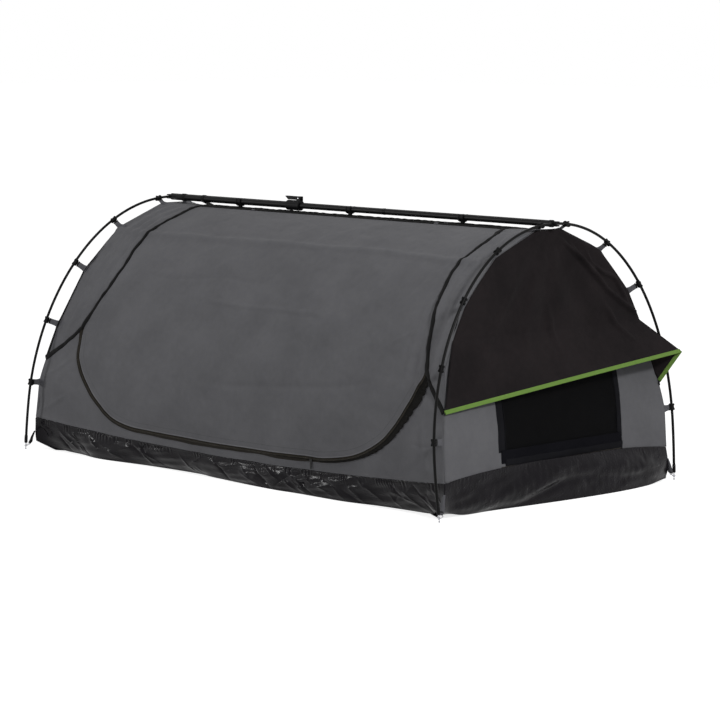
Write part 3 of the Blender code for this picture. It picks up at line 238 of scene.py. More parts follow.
def insectNet(name, colour, pitch, share):
    # knitted net: threads on a square pitch, with clear holes between them
    made, tree, shader = newMaterial(name, {"Base Color": linear(colour), "Roughness": 0.8, "Specular IOR Level": 0.05})
    place = addNode(tree, "ShaderNodeTexCoord")
    lines = [addNode(tree, "ShaderNodeTexWave", {"bands_direction": way, "Scale": stripes(pitch)},
                     {"Vector": place.outputs["UV"]}) for way in "XY"]
    thread = addNode(tree, "ShaderNodeMath", {"operation": "MAXIMUM"},
                     {0: lines[0].outputs["Fac"], 1: lines[1].outputs["Fac"]})
    solid = addNode(tree, "ShaderNodeMath", {"operation": "GREATER_THAN", 1: share}, {0: thread.outputs[0]})
    tree.links.new(solid.outputs[0], shader.inputs["Alpha"])
    return made


looks = {
    # poly-cotton ripstop canvas, loom-state matte: soft grey with a faint mottle; threads drawn 1.5 mm, real ones 0.5
    "canvasGrey": wovenCloth("poly_cotton_canvas_grey", ("#5a5a5d", "#626265"), 1.5, 0.92, 0.45, 0.05, 7.0),
    # the same cloth dyed black: nearly no sheen, slightly brown in the light
    "canvasBlack": wovenCloth("poly_cotton_canvas_black", ("#1e1b1c", "#252122"), 1.5, 0.95, 0.4, 0.01, 7.0, 0.05),
    "windowCloth": wovenCloth("poly_cotton_canvas_navy_black", ("#0b0b0f", "#101014"), 1.5, 0.9, 0.4, 0.0, 0.0, 0.05),
    "windowEdge": wovenCloth("poly_cotton_canvas_black_folded", ("#121215", "#18181b"), 1.5, 0.9, 0.4, 0.0, 0.0, 0.06),
    # PVC-coated polyester, glossy at the sides
    "tubGloss": coatedVinyl("pvc_coated_polyester_gloss", "#0c0a0d", "#151217", 0.19, 0.31),
    # polyester webbing, woven ribs drawn 1.6 mm
    "webbingGrey": ribbedTape("polyester_webbing_grey", "#56565a", "#6c6c70", 1.6, 0.85),
    "webbingGreen": ribbedTape("polyester_webbing_green", "#65843e", "#77984b", 1.6, 0.85),
    "webbingBlack": ribbedTape("polyester_webbing_black", "#131313", "#242424", 1.6, 0.8),
    # grosgrain binding over the seams: black, a dull shine on its ribs
    "binding": ribbedTape("grosgrain_binding_black", "#080808", "#141313", 1.4, 0.75),
    # nylon zip tape and coil: brown-black, teeth drawn 2.4 mm
    "zipTape": ribbedTape("nylon_zip_tape_brown_black", "#14110d", "#26221b", 1.4, 0.75),
    "zipCoil": ribbedTape("nylon_zip_coil_brown_black", "#14130f", "#4a443a", 2.4, 0.5),
    "facing": wovenCloth("zip_facing_taffeta_black", ("#0c0b0a", "#141311"), 1.2, 0.8, 0.4, 0.0, 0.0, 0.08),
    # pultruded fibreglass, black gel skin: smooth, small bright line
    "pole": hardFinish("fibreglass_pole_black", "#060606", "#0a0a0a", 0.36, 0.0, 1.2, 0.08, 0.0, False, 0.09),
    # black powder coat on steel tube: satin, fine orange peel
    "ridgeTube": hardFinish("powder_coated_steel_black", "#070708", "#0b0b0c", 0.38, 0.0, 1.5, 0.2, 0.0, False, 0.11),
    # moulded nylon fittings: black, spark-eroded skin
    "nylon": hardFinish("moulded_nylon_black", "#070708", "#0d0d0e", 0.48, 0.0, 0.9, 0.35, 0.0, False, 0.10),
    "plated": hardFinish("nickel_plated_steel", "#a0a0a4", "#bcbcc0", 0.26, 1.0, 1.0, 0.1, 0.0, True),
    "net": insectNet("insect_net_black", "#0e0e0f", 2.6, 0.72),
    "mattressCover": wovenCloth("brushed_polyester_cover_grey", ("#6f7476", "#7d8284"), 1.8, 0.95, 0.4, 0.15),
    # canvas hems: the same grey cloth, doubled, a touch lighter than the canvas; on the door's hem fold the lighter
    # tone is a painted highlight along its raised edge
    "hemHighlightCloth": wovenCloth("poly_cotton_hem_grey", ("#636367", "#707073"), 1.5, 0.9, 0.4, 0.05),
    "rimCloth": wovenCloth("poly_cotton_rim_grey", ("#5c5c60", "#68686b"), 1.5, 0.9, 0.4, 0.05),
    # bonded polyester thread, sunk in the cloth: a dotted line, stitches drawn 5 mm
    "stitch": ribbedTape("polyester_thread_dark_grey", "#3a3a3c", "#58585a", 5.0, 0.85),
    # die-cast zinc under black paint
    "sliderPaint": hardFinish("black_painted_zinc", "#0e0e0e", "#161514", 0.38, 0.0, 1.0, 0.2, 0.0, False, 0.15),
}
print("materials made:", len(looks))


# ---- the part's own surfaces, from the sizes of its source ----

hoops = {
    "halfWidth": 0.700, "rise": 0.832, "springHeight": 0.220, "legPinch": 0.0073, "footHeight": 0.030,
    "squareness": 0.96, "diameter": 0.009, "groundX": (-1.2085, 1.1715), "topX": (-1.055, 1.107),
    "bow": (0.004, -0.009),
}
body = {
    "halfWidth": 0.655, "springHeight": 0.200, "top": 1.034, "ridgeSag": 0.016, "sideSag": 0.020,
    "flatness": 10, "inset": 0.030, "insetLow": 0.300, "insetHigh": 0.600, "scallop": 0.10,
    "crease": 0.005, "creaseAngle": 61.0, "creaseSpread": 14.0, "creasePower": 1.5,
    "tubEdge": 0.138, "tubDip": 0.042, "tubEndRise": 0.012,
}
poleAxis = 1.052
clipAngles = (5.0, 23.8, 43.6, 63.6, 84.3)
hingeAngle = radians(87.0)
hingeY, hingeZ, hingeGap = 0.0332333, 1.0190332, 0.0007
doorRows = (
    (82.0, 0.096, 0.922), (76.0, 0.100, 0.934), (69.0, 0.098, 0.934), (61.0, 0.096, 0.928),
    (53.0, 0.098, 0.930), (45.0, 0.100, 0.937), (38.0, 0.094, 0.942), (31.0, 0.083, 0.949),
    (24.0, 0.070, 0.958), (19.0, 0.079, 0.944), (13.5, 0.094, 0.921), (8.0, 0.122, 0.892),
    (3.0, 0.157, 0.857), (-1.3, 0.197, 0.802), (-3.4, 0.250, 0.735),
)
doorTop = (0.090, 0.908)
doorSag = 0.9
branchEnd = 13.5


def between(start, end, share):
    return start + (end - start) * share


def smoothStep(share):
    share = np.clip(share, 0, 1)
    return share * share * (3 - 2 * share)


def unit(vectors):
    length = np.linalg.norm(vectors, axis=-1, keepdims=True)
    return vectors / np.maximum(length, 1e-9)


def hoopX(height, end):  # end 0 foot, 1 head
    share = height / poleAxis
    return between(hoops["groundX"][end], hoops["topX"][end], share) + hoops["bow"][end] * 4 * share * (1 - share)


def hoopPoint(angle, end):  # angle 0 near spring line, pi far
    angle = np.asarray(angle, float)
    side = np.where(np.cos(angle) > 0, -1.0, 1.0)
    height = hoops["springHeight"] + hoops["rise"] * np.sin(angle)
    across = side * hoops["halfWidth"] * np.abs(np.cos(angle)) ** hoops["squareness"]
    return np.stack((hoopX(height, end), across, height), -1)


def hoopTangent(angle, end):
    step = radians(0.5)
    return unit(hoopPoint(angle + step, end) - hoopPoint(angle - step, end))


def legPoint(share, end, side):
    share = np.asarray(share, float)
    height = between(hoops["footHeight"], hoops["springHeight"], share)
    across = side * (hoops["halfWidth"] - hoops["legPinch"] * (1 - share) ** 2)
    return np.stack((hoopX(height, end), across, height), -1)


def canvasEndX(height, end):
    drawn = smoothStep((height - body["insetLow"]) / (body["insetHigh"] - body["insetLow"]))
    return hoopX(height, end) + body["inset"] * drawn * (1 if end == 0 else -1)


def topLine(share):
    return body["top"] - body["ridgeSag"] * (1 - np.abs(2 * share - 1) ** body["flatness"])


def smoothSection(share, angle):
    half = body["halfWidth"] - body["sideSag"] * 4 * share * (1 - share)
    spring = body["springHeight"]
    return -half * np.cos(angle), spring + (topLine(share) - spring) * np.sin(angle)


def facingAngle(clipAngle, end):  # the canvas arch angle square in from a hoop clip
    pole, along = hoopPoint(clipAngle, end), hoopTangent(clipAngle, end)
    low, high = clipAngle - radians(14), clipAngle + radians(14)
    for _ in range(40):
        middle = (low + high) / 2
        y, z = smoothSection(float(end), middle)
        edge = np.array((canvasEndX(z, end), y, z))
        low, high = (middle, high) if (edge - pole) @ along < 0 else (low, middle)
    return (low + high) / 2


nearClips = [radians(angle) for angle in clipAngles]
allClips = nearClips + [pi - angle for angle in reversed(nearClips)]
corners = [np.array([-radians(6)] + [facingAngle(at, end) for at in allClips] + [pi + radians(6)]) for end in (0, 1)]


def canvasPoint(share, angle):
    share, angle = np.broadcast_arrays(np.asarray(share, float), np.asarray(angle, float))
    y, z = smoothSection(share, angle)
    edge = np.minimum(share, 1 - share)
    pull = np.maximum(0, 1 - edge / body["scallop"]) ** 2
    for end in (0, 1):
        marks = corners[end]
        at = np.clip(np.searchsorted(marks, angle, side="right") - 1, 0, len(marks) - 2)
        climb = (angle - marks[at]) / (marks[at + 1] - marks[at])
        low, high = smoothSection(share, marks[at]), smoothSection(share, marks[at + 1])
        here = (pull > 0) & ((share < 0.5) if end == 0 else (share >= 0.5)) & (climb >= 0) & (climb <= 1)
        y = np.where(here, between(y, between(low[0], high[0], climb), pull), y)
        z = np.where(here, between(z, between(low[1], high[1], climb), pull), z)
    off = np.abs(np.minimum(angle, pi - angle) - radians(body["creaseAngle"])) / radians(body["creaseSpread"])
    lift = body["crease"] * np.maximum(0, 1 - off) ** body["creasePower"] * smoothStep(edge / body["scallop"])
    away = unit(np.stack((y, z - body["springHeight"]), -1))
    y, z = y + away[..., 0] * lift, z + away[..., 1] * lift
    return np.stack((between(canvasEndX(z, 0), canvasEndX(z, 1), share), y, z), -1)


def canvasNormal(share, angle):
    step = 0.004
    along = canvasPoint(np.clip(share + step, 0, 1), angle) - canvasPoint(np.clip(share - step, 0, 1), angle)
    up = canvasPoint(share, angle + step) - canvasPoint(share, angle - step)
    return unit(np.cross(up, along)) * -1.0


def tubEdge(share):
    return body["tubEdge"] - body["tubDip"] * 4 * share * (1 - share)


def tubAngle(share):
    spring = body["springHeight"]
    return np.arcsin((tubEdge(share) - spring) / (topLine(share) - spring))


def tubEndHeight(across):
    return body["tubEdge"] - 0.0014 + body["tubEndRise"] * (1 - across * across)


def softWaves(u, v, seed, short, long, count=16):  # a sum of gentle waves, the same each run
    dice = np.random.default_rng(seed)
    total = np.zeros(np.broadcast(u, v).shape)
    for _ in range(count):
        length = short * (long / short) ** dice.random()
        way, phase = dice.random() * 2 * pi, dice.random() * 2 * pi
        total += np.sin(2 * pi * (u * cos(way) + v * sin(way)) / length + phase)
    return total / sqrt(count)


def nearLine(u, v, line, width):  # 1 on a line of points, fading to its sides and towards its ends
    line = np.asarray(line, float)
    spans = np.linalg.norm(np.diff(line, axis=0), axis=1)
    ends = np.concatenate(([0], np.cumsum(spans)))
    best = np.full(np.broadcast(u, v).shape, 1e9)
    place = np.zeros(best.shape)
    for number, (start, stop) in enumerate(zip(line, line[1:])):
        way = stop - start
        share = np.clip(((u - start[0]) * way[0] + (v - start[1]) * way[1]) / (way @ way), 0, 1)
        gap = np.hypot(u - start[0] - share * way[0], v - start[1] - share * way[1])
        place = np.where(gap < best, (ends[number] + share * spans[number]) / ends[-1], place)
        best = np.minimum(best, gap)
    return np.exp(-(best / width) ** 2) * smoothStep(np.minimum(place, 1 - place) * 4 + 0.1)


clothFolds = {
    "broad": 0.0026, "broadSpan": (0.16, 0.50), "roof": 0.0074, "roofWidth": 1.4, "hood": 0.0040,
    "fine": 0.0006, "fineSpan": (0.05, 0.12),
    # share of the length and arch angle of each crease line, its half-width in metres and its height
    "creases": (
        (((0.33, 37.2), (0.46, 36.1), (0.592, 36.3), (0.718, 36.4)), 0.009, 0.0030),
        (((0.862, 30.2), (0.885, 32.5), (0.905, 34.3)), 0.007, 0.0030),
        (((0.40, 13.2), (0.494, 12.7), (0.736, 16.1), (0.864, 19.8)), 0.013, -0.0026),
        (((0.14, 44.0), (0.25, 43.0), (0.38, 45.5), (0.52, 44.0)), 0.012, -0.0024),
        (((0.108, 36.0), (0.104, 30.0), (0.112, 24.5), (0.125, 20.5)), 0.008, 0.0030),
        (((0.075, 15.0), (0.045, 11.0), (0.012, 8.0)), 0.010, 0.0030),
        (((0.085, 4.0), (0.050, 1.0), (0.014, -2.0)), 0.010, 0.0030),
        (((0.951, 12.0), (0.956, 6.0), (0.962, 1.0), (0.966, -3.5)), 0.010, 0.0026),
        (((0.925, 4.6), (0.957, 4.2), (0.993, 5.0)), 0.005, -0.0014),
        (((0.60, 82.0), (0.66, 70.0), (0.70, 60.0)), 0.016, -0.0014),
        (((0.27, 80.0), (0.31, 70.0), (0.30, 61.0)), 0.016, 0.0014),
        (((0.16, 60.0), (0.20, 50.0), (0.26, 38.0)), 0.020, -0.0020),
        (((0.90, 60.0), (0.86, 47.0), (0.83, 36.0)), 0.020, -0.0020),
    ),
}


def foldHeight(share, angle):  # how far the cloth stands out from its plain surface
    share, angle = np.broadcast_arrays(np.asarray(share, float), np.asarray(angle, float))
    u, v = share * 2.3, angle * 0.82
    low = np.minimum(angle, pi - angle)
    height = clothFolds["broad"] * softWaves(u, v, 3, *clothFolds["broadSpan"])
    height = height + clothFolds["fine"] * softWaves(u, v, 8, *clothFolds["fineSpan"])
    for line, width, lift in clothFolds["creases"]:
        spots = [(at * 2.3, radians(degrees) * 0.82) for at, degrees in line]
        height = height + lift * nearLine(u, low * 0.82, spots, width)
    # the crease pressed into the roof when the swag is rolled
    drift = radians(0.5) * softWaves(u, 0 * u, 23, 0.5, 1.2, 8)
    height = height + clothFolds["roof"] * np.exp(-((low - radians(body["creaseAngle"]) - drift) / radians(clothFolds["roofWidth"])) ** 2)
    # long folds down the two hood strips, from tab to tab
    edge = np.minimum(share, 1 - share)
    strip = smoothStep(edge / 0.02) * smoothStep((0.105 - edge) / 0.03) * smoothStep((low - radians(10)) / 0.3)
    long = np.sin(2 * pi * (edge + 0.006 * softWaves(u, v, 21, 0.3, 0.7)) / 0.026)
    height = height + clothFolds["hood"] * strip * (long * (0.6 + 0.4 * softWaves(u * 3, v, 25, 0.2, 0.5, 8)))
    # short pulls away from each tab
    for end in (0, 1):
        gone = (share if end == 0 else 1 - share) * 2.3
        for mark in corners[end][1:-1]:
            swing = np.abs(angle - mark) * 0.82
            height = height - 0.0045 * np.exp(-(swing / (0.010 + 0.25 * gone)) ** 2) * np.exp(-gone / 0.05)
    calm = smoothStep(edge / 0.006 + 0.25) * smoothStep((hingeAngle - low) / radians(9))
    return height * calm


def clothPoint(share, angle, lift=0.0):
    share, angle = np.broadcast_arrays(np.asarray(share, float), np.asarray(angle, float))
    out = canvasNormal(share, angle)
    return canvasPoint(share, angle) + out * (foldHeight(share, angle) + lift)[..., None]


# ---- mesh helpers ----

def meshObject(name, points, faces, coords=None, smooth=True):
    data = bpy.data.meshes.new(name)
    data.from_pydata(np.asarray(points, float).reshape(-1, 3).tolist(), [], [tuple(map(int, f)) for f in faces])
    if coords is not None:
        layer = data.uv_layers.new(name="cloth")
        index = np.zeros(len(data.loops), np.int32)
        data.loops.foreach_get("vertex_index", index)
        layer.data.foreach_set("uv", np.asarray(coords, np.float32).reshape(-1, 2)[index].ravel())
    if smooth:
        data.shade_smooth()
    data.update()
    made = bpy.data.objects.new(name, data)
    bpy.context.scene.collection.objects.link(made)
    return made


def gridFaces(rows, columns, closed=False):
    across = columns if closed else columns - 1
    top, side = np.meshgrid(np.arange(rows - 1), np.arange(across), indexing="ij")
    after = (side + 1) % columns
    return np.stack((top * columns + side, top * columns + after,
                     (top + 1) * columns + after, (top + 1) * columns + side), -1).reshape(-1, 4)


def gridCoords(grid):  # metres along and across the cloth
    along = np.linalg.norm(np.diff(grid, axis=1), axis=2)
    down = np.linalg.norm(np.diff(grid, axis=0), axis=2)
    u = np.concatenate((np.zeros((grid.shape[0], 1)), np.cumsum(along, 1)), 1)
    v = np.concatenate((np.zeros((1, grid.shape[1])), np.cumsum(down, 0)), 0)
    return np.stack((np.broadcast_to(u.mean(0), u.shape) * 0.5 + u * 0.5, v), -1)


def dress(piece, look, bodyName, replaced=()):
    piece.data.materials.clear()
    piece.data.materials.append(looks[look])
    if bodyName:
        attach(piece, bodyName)
    if replaced:
        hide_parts(*replaced)
    return piece


def facingOut(grid, way):  # the same grid, its columns turned round if its faces would look the wrong way
    r, c = grid.shape[0] // 2, grid.shape[1] // 2
    normal = np.cross(grid[r, c] - grid[r, c - 1], grid[r - 1, c] - grid[r, c])
    normal = -np.cross(grid[r, c + 1 if c + 1 < grid.shape[1] else c] - grid[r, c], grid[r, c] - grid[r - 1, c])
    towards = way(grid[r, c]) if callable(way) else np.asarray(way, float)
    return grid if normal @ towards > 0 else grid[:, ::-1]


def fromMiddle(place):
    return np.array((0, place[1], place[2] - body["springHeight"] / 2))


def clothSheet(name, grid, way, thickness=0.0014):
    grid = facingOut(grid, way)
    piece = meshObject(name, grid, gridFaces(*grid.shape[:2]), gridCoords(grid))
    wall = piece.modifiers.new("clothWall", "SOLIDIFY")
    wall.thickness = thickness
    wall.offset = -1
    return piece


def sheetSize(grid):  # the flat cut: its two lengths, and its area
    wide = np.linalg.norm(np.diff(grid, axis=1), axis=2).sum(1).max()
    long = np.linalg.norm(np.diff(grid, axis=0), axis=2).sum(0).max()
    a = np.linalg.norm(np.cross(grid[1:, :-1] - grid[:-1, :-1], grid[:-1, 1:] - grid[:-1, :-1]), axis=2).sum() / 2
    b = np.linalg.norm(np.cross(grid[1:, :-1] - grid[1:, 1:], grid[:-1, 1:] - grid[1:, 1:]), axis=2).sum() / 2
    return (round(float(wide), 3), round(float(long), 3)), round(float(min(a + b, wide * long)), 4)


def declareSheet(piece, grid):
    flat, area = sheetSize(grid)
    if area < 0.35 * flat[0] * flat[1]:  # a bent strip: its run and its mean depth
        flat = (flat[0], round(area / (0.9 * flat[0]), 3))
    return piece


def frames(path, up):  # along, across and up at each point of a path
    path = np.asarray(path, float)
    along = unit(np.gradient(path, axis=0))
    up = np.broadcast_to(np.asarray(up, float), path.shape)
    across = unit(np.cross(along, up))
    return along, across, unit(np.cross(across, along))


def sweep(name, path, up, profile, widths=1.0, heights=1.0, closed=False, smooth=True):
    # a closed profile of (across, up) carried along a path; widths and heights may change along it
    path = np.asarray(path, float)
    along, across, lift = frames(path, up)
    if closed:
        along = unit(np.roll(path, -1, 0) - np.roll(path, 1, 0))
        across = unit(np.cross(along, np.broadcast_to(np.asarray(up, float), path.shape)))
        lift = unit(np.cross(across, along))
    profile = np.asarray(profile, float)
    wide = np.broadcast_to(np.asarray(widths, float), (len(path),))[:, None, None]
    tall = np.broadcast_to(np.asarray(heights, float), (len(path),))[:, None, None]
    rings = path[:, None] + across[:, None] * profile[None, :, :1] * wide + lift[:, None] * profile[None, :, 1:] * tall
    count, around = len(path), len(profile)
    faces = gridFaces(count, around, True).tolist()
    if closed:
        last = (count - 1) * around
        faces += [(last + i, last + (i + 1) % around, (i + 1) % around, i) for i in range(around)]
    else:
        faces += [tuple(range(around))[::-1], tuple((count - 1) * around + i for i in range(around))]
    walk = np.concatenate(([0], np.cumsum(np.linalg.norm(np.diff(path, axis=0), axis=1))))
    turn = np.concatenate(([0], np.cumsum(np.linalg.norm(np.diff(profile, axis=0), axis=1))))
    coords = np.stack(np.broadcast_arrays(walk[:, None], turn[None, :]), -1)
    piece = meshObject(name, rings, faces, coords, smooth)
    check = bmesh.new()
    check.from_mesh(piece.data)
    bmesh.ops.recalc_face_normals(check, faces=check.faces)
    check.to_mesh(piece.data)
    check.free()
    return piece


def circle(radius, sides):
    turn = np.arange(sides) * 2 * pi / sides
    return np.stack((radius * np.cos(turn), radius * np.sin(turn)), 1)


def roundedBar(width, height, round_, steps=3):  # a rectangle with rounded corners, middle at 0
    loop = []
    for quarter, (sx, sy) in enumerate(((1, 1), (-1, 1), (-1, -1), (1, -1))):
        for step in range(steps + 1):
            turn = (quarter + step / steps) * pi / 2
            loop.append((sx * (width / 2 - round_) + round_ * cos(turn), sy * (height / 2 - round_) + round_ * sin(turn)))
    return np.array(loop)


def flatTape(width, thick, sink=0.0):  # tape that lies on a surface: its underside sinks in a little
    return roundedBar(width, thick + sink, min(thick, width) * 0.42) + np.array((0, (thick - sink) / 2))


def domeTape(width, thick, sink=0.0006):  # bound seam: a low dome
    turn = np.linspace(0, pi, 9)
    dome = np.stack((width / 2 * np.cos(turn), thick * np.sin(turn)), 1)
    return np.concatenate((dome, ((-width / 2 * 0.9, -sink), (width / 2 * 0.9, -sink))))


def joinPieces(name, pieces):
    # one object from several: their meshes with modifiers applied
    depsgraph = bpy.context.evaluated_depsgraph_get()
    whole = bmesh.new()
    layer = None
    for part in pieces:
        bpy.context.view_layer.update()
        data = bpy.data.meshes.new_from_object(part.evaluated_get(bpy.context.evaluated_depsgraph_get()))
        data.transform(part.matrix_world)
        whole.from_mesh(data)
        bpy.data.meshes.remove(data)
    data = bpy.data.meshes.new(name)
    whole.to_mesh(data)
    whole.free()
    for part in pieces:
        bpy.data.objects.remove(part, do_unlink=True)
    made = bpy.data.objects.new(name, data)
    bpy.context.scene.collection.objects.link(made)
    return made


def spline(points, at):  # Catmull-Rom through the points; at counts them from 0
    points = np.asarray(points, float)
    at = np.clip(np.asarray(at, float), 0, len(points) - 1)
    low = np.minimum(at.astype(int), len(points) - 2)
    t = (at - low)[..., None]
    p0, p1 = points[np.maximum(low - 1, 0)], points[low]
    p2, p3 = points[low + 1], points[np.minimum(low + 2, len(points) - 1)]
    return 0.5 * (2 * p1 + (p2 - p0) * t + (2 * p0 - 5 * p1 + 4 * p2 - p3) * t ** 2
                  + (3 * p1 - p0 - 3 * p2 + p3) * t ** 3)


print("surfaces ready")


# ---- canvas body ----

def doorLine(at):  # the door's outline: 0 at the hinge's foot end, round the bottom, 40 at its head end
    left = [(doorTop[0], degrees_) for degrees_ in (87.0,)] + [(foot, angle) for angle, foot, head in doorRows]
    first, last = doorRows[-1][1], doorRows[-1][2]
    low = doorRows[-1][0]
    bottom = [(between(first, last, i / 10), low - doorSag * 4 * (i / 10) * (1 - i / 10)) for i in range(1, 10)]
    right = [(head, angle) for angle, foot, head in reversed(doorRows)] + [(doorTop[1], 87.0)]
    line = spline(left + bottom + right, at)
    return line[..., 0], np.radians(line[..., 1])


branchAt = (9, 31)  # where the hood seams leave the door's outline
doorCorners = (15, 25)


def sideAngle(angle, side):
    return angle if side < 0 else pi - angle


def onHinge(points, share, angle, side):
    # near the hinge the cloth rises to the straight hinge line
    low = np.minimum(angle, pi - angle)
    line = canvasPoint(share, np.full(np.shape(share), hingeAngle if side < 0 else pi - hingeAngle))
    drop = np.stack((0 * share, side * (hingeY + hingeGap) - line[..., 1], hingeZ - line[..., 2]), -1)
    return points + drop * (1 - smoothStep((hingeAngle - low) / radians(8)))[..., None]


hoodSizes = {"perRow": 14, "lowColumns": 30, "ridgeColumns": 14, "steps": 44, "gather": 0.12, "thick": 0.0016}


def hoodGrid(end, lift=0.0):
    archShare = float(end)
    lowEnd, branch = branchAt[end], None
    climb = np.linspace(0.02, 1, hoodSizes["lowColumns"], endpoint=False)
    branchShare, branchAngle = doorLine(lowEnd)
    seamS = between(archShare, branchShare, climb)
    seamA = between(radians(branchEnd), branchAngle, climb)
    archA = between(radians(branchEnd), branchAngle, climb + (1 - climb) * hoodSizes["gather"])
    count = branchAt[0] * hoodSizes["perRow"] + 1
    at = np.linspace(9, 0, count) if end == 0 else np.linspace(31, 40, count)
    upS, upA = doorLine(at)
    seamS, seamA = np.concatenate((seamS, upS)), np.concatenate((seamA, upA))
    archA = np.concatenate((archA, upA))
    middle = np.linspace(hingeAngle, pi - hingeAngle, hoodSizes["ridgeColumns"])[1:-1]
    seamS = np.concatenate((seamS, np.full(len(middle), doorTop[end]), seamS[::-1]))
    archA = np.concatenate((archA, middle, pi - archA[::-1]))
    seamA = np.concatenate((seamA, middle, pi - seamA[::-1]))
    share = np.linspace(0, 1, hoodSizes["steps"])[:, None]
    s = between(archShare, seamS[None], share)
    a = between(archA[None], seamA[None], share)
    return clothPoint(s, a, lift), s, a


for end, endName in ((0, "foot"), (1, "head")):
    grid = hoodGrid(end)[0]
    hood = clothSheet(endName + "HoodCloth", grid, fromMiddle, hoodSizes["thick"])
    declareSheet(hood, grid)
    dress(hood, "canvasGrey", "shelter", [endName + "_hood"])

wallSizes = {"perRow": 18, "steps": 44, "thick": 0.0016}


def wallLines(at):  # inner edge along the door, outer edge along the arch and the tub, for each place
    innerS, innerA = doorLine(at)
    index = at - branchAt[0]
    total = branchAt[1] - branchAt[0]
    back = np.minimum(index, total - index)
    isHead = index > total / 2
    endShare = np.where(isHead, 1.0, 0.0)
    rise = between(radians(branchEnd), tubAngle(endShare), np.clip(back / 4, 0, 1))
    cornerS = doorRows[-1][1]
    reach = np.where(isHead, 1 - doorRows[-1][2], cornerS)
    walk = np.clip((back - 4) / 2, 0, 1) * reach
    alongS = np.where(isHead, 1 - walk, walk)
    outerS = np.where(back <= 4, endShare, np.where(back < 6, alongS, innerS))
    outerA = np.where(back <= 4, rise, tubAngle(outerS))
    return innerS, innerA, outerS, outerA


def wallGrid(side, lift=0.0):
    at = np.linspace(branchAt[0], branchAt[1], (branchAt[1] - branchAt[0]) * wallSizes["perRow"] + 1)
    innerS, innerA, outerS, outerA = wallLines(at)
    share = np.linspace(0, 1, wallSizes["steps"])[:, None]
    s = between(innerS[None], outerS[None], share)
    a = between(innerA[None], outerA[None], share)
    return clothPoint(s, sideAngle(a, side), lift)


doorSizes = {"columns": 300, "rows": 200, "thick": 0.0016, "gap": 0.0012, "meshDrop": 0.0032, "meshThick": 0.0008}


def doorPatch(columns, rows):  # a Coons patch inside the door's outline
    u, v = np.linspace(0, 1, columns)[None], np.linspace(0, 1, rows)[:, None]

    def line(start, stop, share):
        s, a = doorLine(between(start, stop, share))
        return np.stack((s, a), -1)
    left, right = line(0, doorCorners[0], v), line(40, doorCorners[1], v)
    low = line(doorCorners[0], doorCorners[1], u)
    top = np.stack((between(doorTop[0], doorTop[1], u), np.full(u.shape, hingeAngle)), -1)
    u, v = u[..., None], v[..., None]
    flat = ((1 - u) * left + u * right + (1 - v) * top + v * low
            - (1 - u) * (1 - v) * top[:, :1] - u * (1 - v) * top[:, -1:]
            - (1 - u) * v * low[:, :1] - u * v * low[:, -1:])
    return flat[..., 0], flat[..., 1]


def doorGrid(side, lift=0.0, columns=None, rows=None):
    s, a = doorPatch(columns or doorSizes["columns"], rows or doorSizes["rows"])
    angle = sideAngle(a, side)
    return onHinge(clothPoint(s, angle, lift), s, angle, side)


for side, sideName in ((-1, "near"), (1, "far")):
    grid = wallGrid(side)
    wall = clothSheet(sideName + "WallCloth", grid, fromMiddle, wallSizes["thick"])
    declareSheet(wall, grid)
    dress(wall, "canvasGrey", "shelter", [sideName + "_wall"])
    grid = doorGrid(side)
    door = clothSheet(sideName + "DoorCloth", grid, fromMiddle, doorSizes["thick"])
    declareSheet(door, grid)
    dress(door, "canvasGrey", sideName + "_door", [sideName + "_door_canvas"])
    grid = doorGrid(side, -doorSizes["meshDrop"], 90, 60)
    net = clothSheet(sideName + "DoorNet", grid, fromMiddle, doorSizes["meshThick"])
    declareSheet(net, grid)
    dress(net, "net", sideName + "_screen", [sideName + "_door_mesh"])

across = np.linspace(-hingeY, hingeY, 7)[:, None]
alongShare = np.linspace(doorTop[0], doorTop[1], 160)[None]
ridgeX = canvasPoint(alongShare, pi / 2)[..., 0]
ripple = 0.0008 * softWaves(ridgeX + 0 * across, across + 0 * ridgeX, 31, 0.05, 0.2) * (1 - (across / hingeY) ** 2)
grid = np.stack(np.broadcast_arrays(ridgeX, across, hingeZ + ripple), -1)
strip = clothSheet("ridgeStripCloth", grid, (0, 0, 1))
declareSheet(strip, grid)
dress(strip, "canvasGrey", "shelter", ["ridge_strip"])

endWall = {"shrink": 0.0006, "centre": 0.300, "recess": 0.0003, "levels": 110, "columns": 90,
           "windowHalf": 0.345, "windowOffset": 0.030, "windowLow": 0.170, "windowTop": 0.600}


def endWallX(height, end):
    return canvasEndX(height, end) - (1 if end else -1) * endWall["recess"]


def endWallGrid(end):
    low = float(tubAngle(float(end)))
    angles = np.linspace(low, radians(84), endWall["levels"])
    edge = canvasPoint(float(end), angles)
    shrink = 1 - endWall["shrink"] / body["halfWidth"]
    half = np.abs(edge[:, 1])[:, None] * shrink
    across = np.linspace(-1, 1, endWall["columns"])[None]
    z = between(endWall["centre"], edge[:, 2], shrink)[:, None]
    foot = tubEndHeight(across) + 0.0016
    z = np.maximum(z + 0 * across, foot) if False else np.where(angles[:, None] <= low + 1e-9, foot, z + 0 * across)
    z = np.maximum(z, foot + (angles[:, None] - low) * 0.02)
    y = across * half
    swell = 0.0020 * softWaves(y, z, 51 + end, 0.12, 0.45) + 0.0015 * np.sin(y * 31) * smoothStep((0.34 - z) / 0.2)
    swell = swell * smoothStep((1 - np.abs(across)) / 0.08) * smoothStep((z - foot) / 0.03)
    out = -1 if end == 0 else 1
    x = endWallX(z, end) + out * (np.minimum(swell, 0) if end else swell)
    return np.stack(np.broadcast_arrays(x, y, z), -1)


grid = endWallGrid(0)
wall = clothSheet("footWallCloth", grid, (-1, 0, 0))
declareSheet(wall, grid)
dress(wall, "canvasGrey", "shelter", ["foot_wall"])

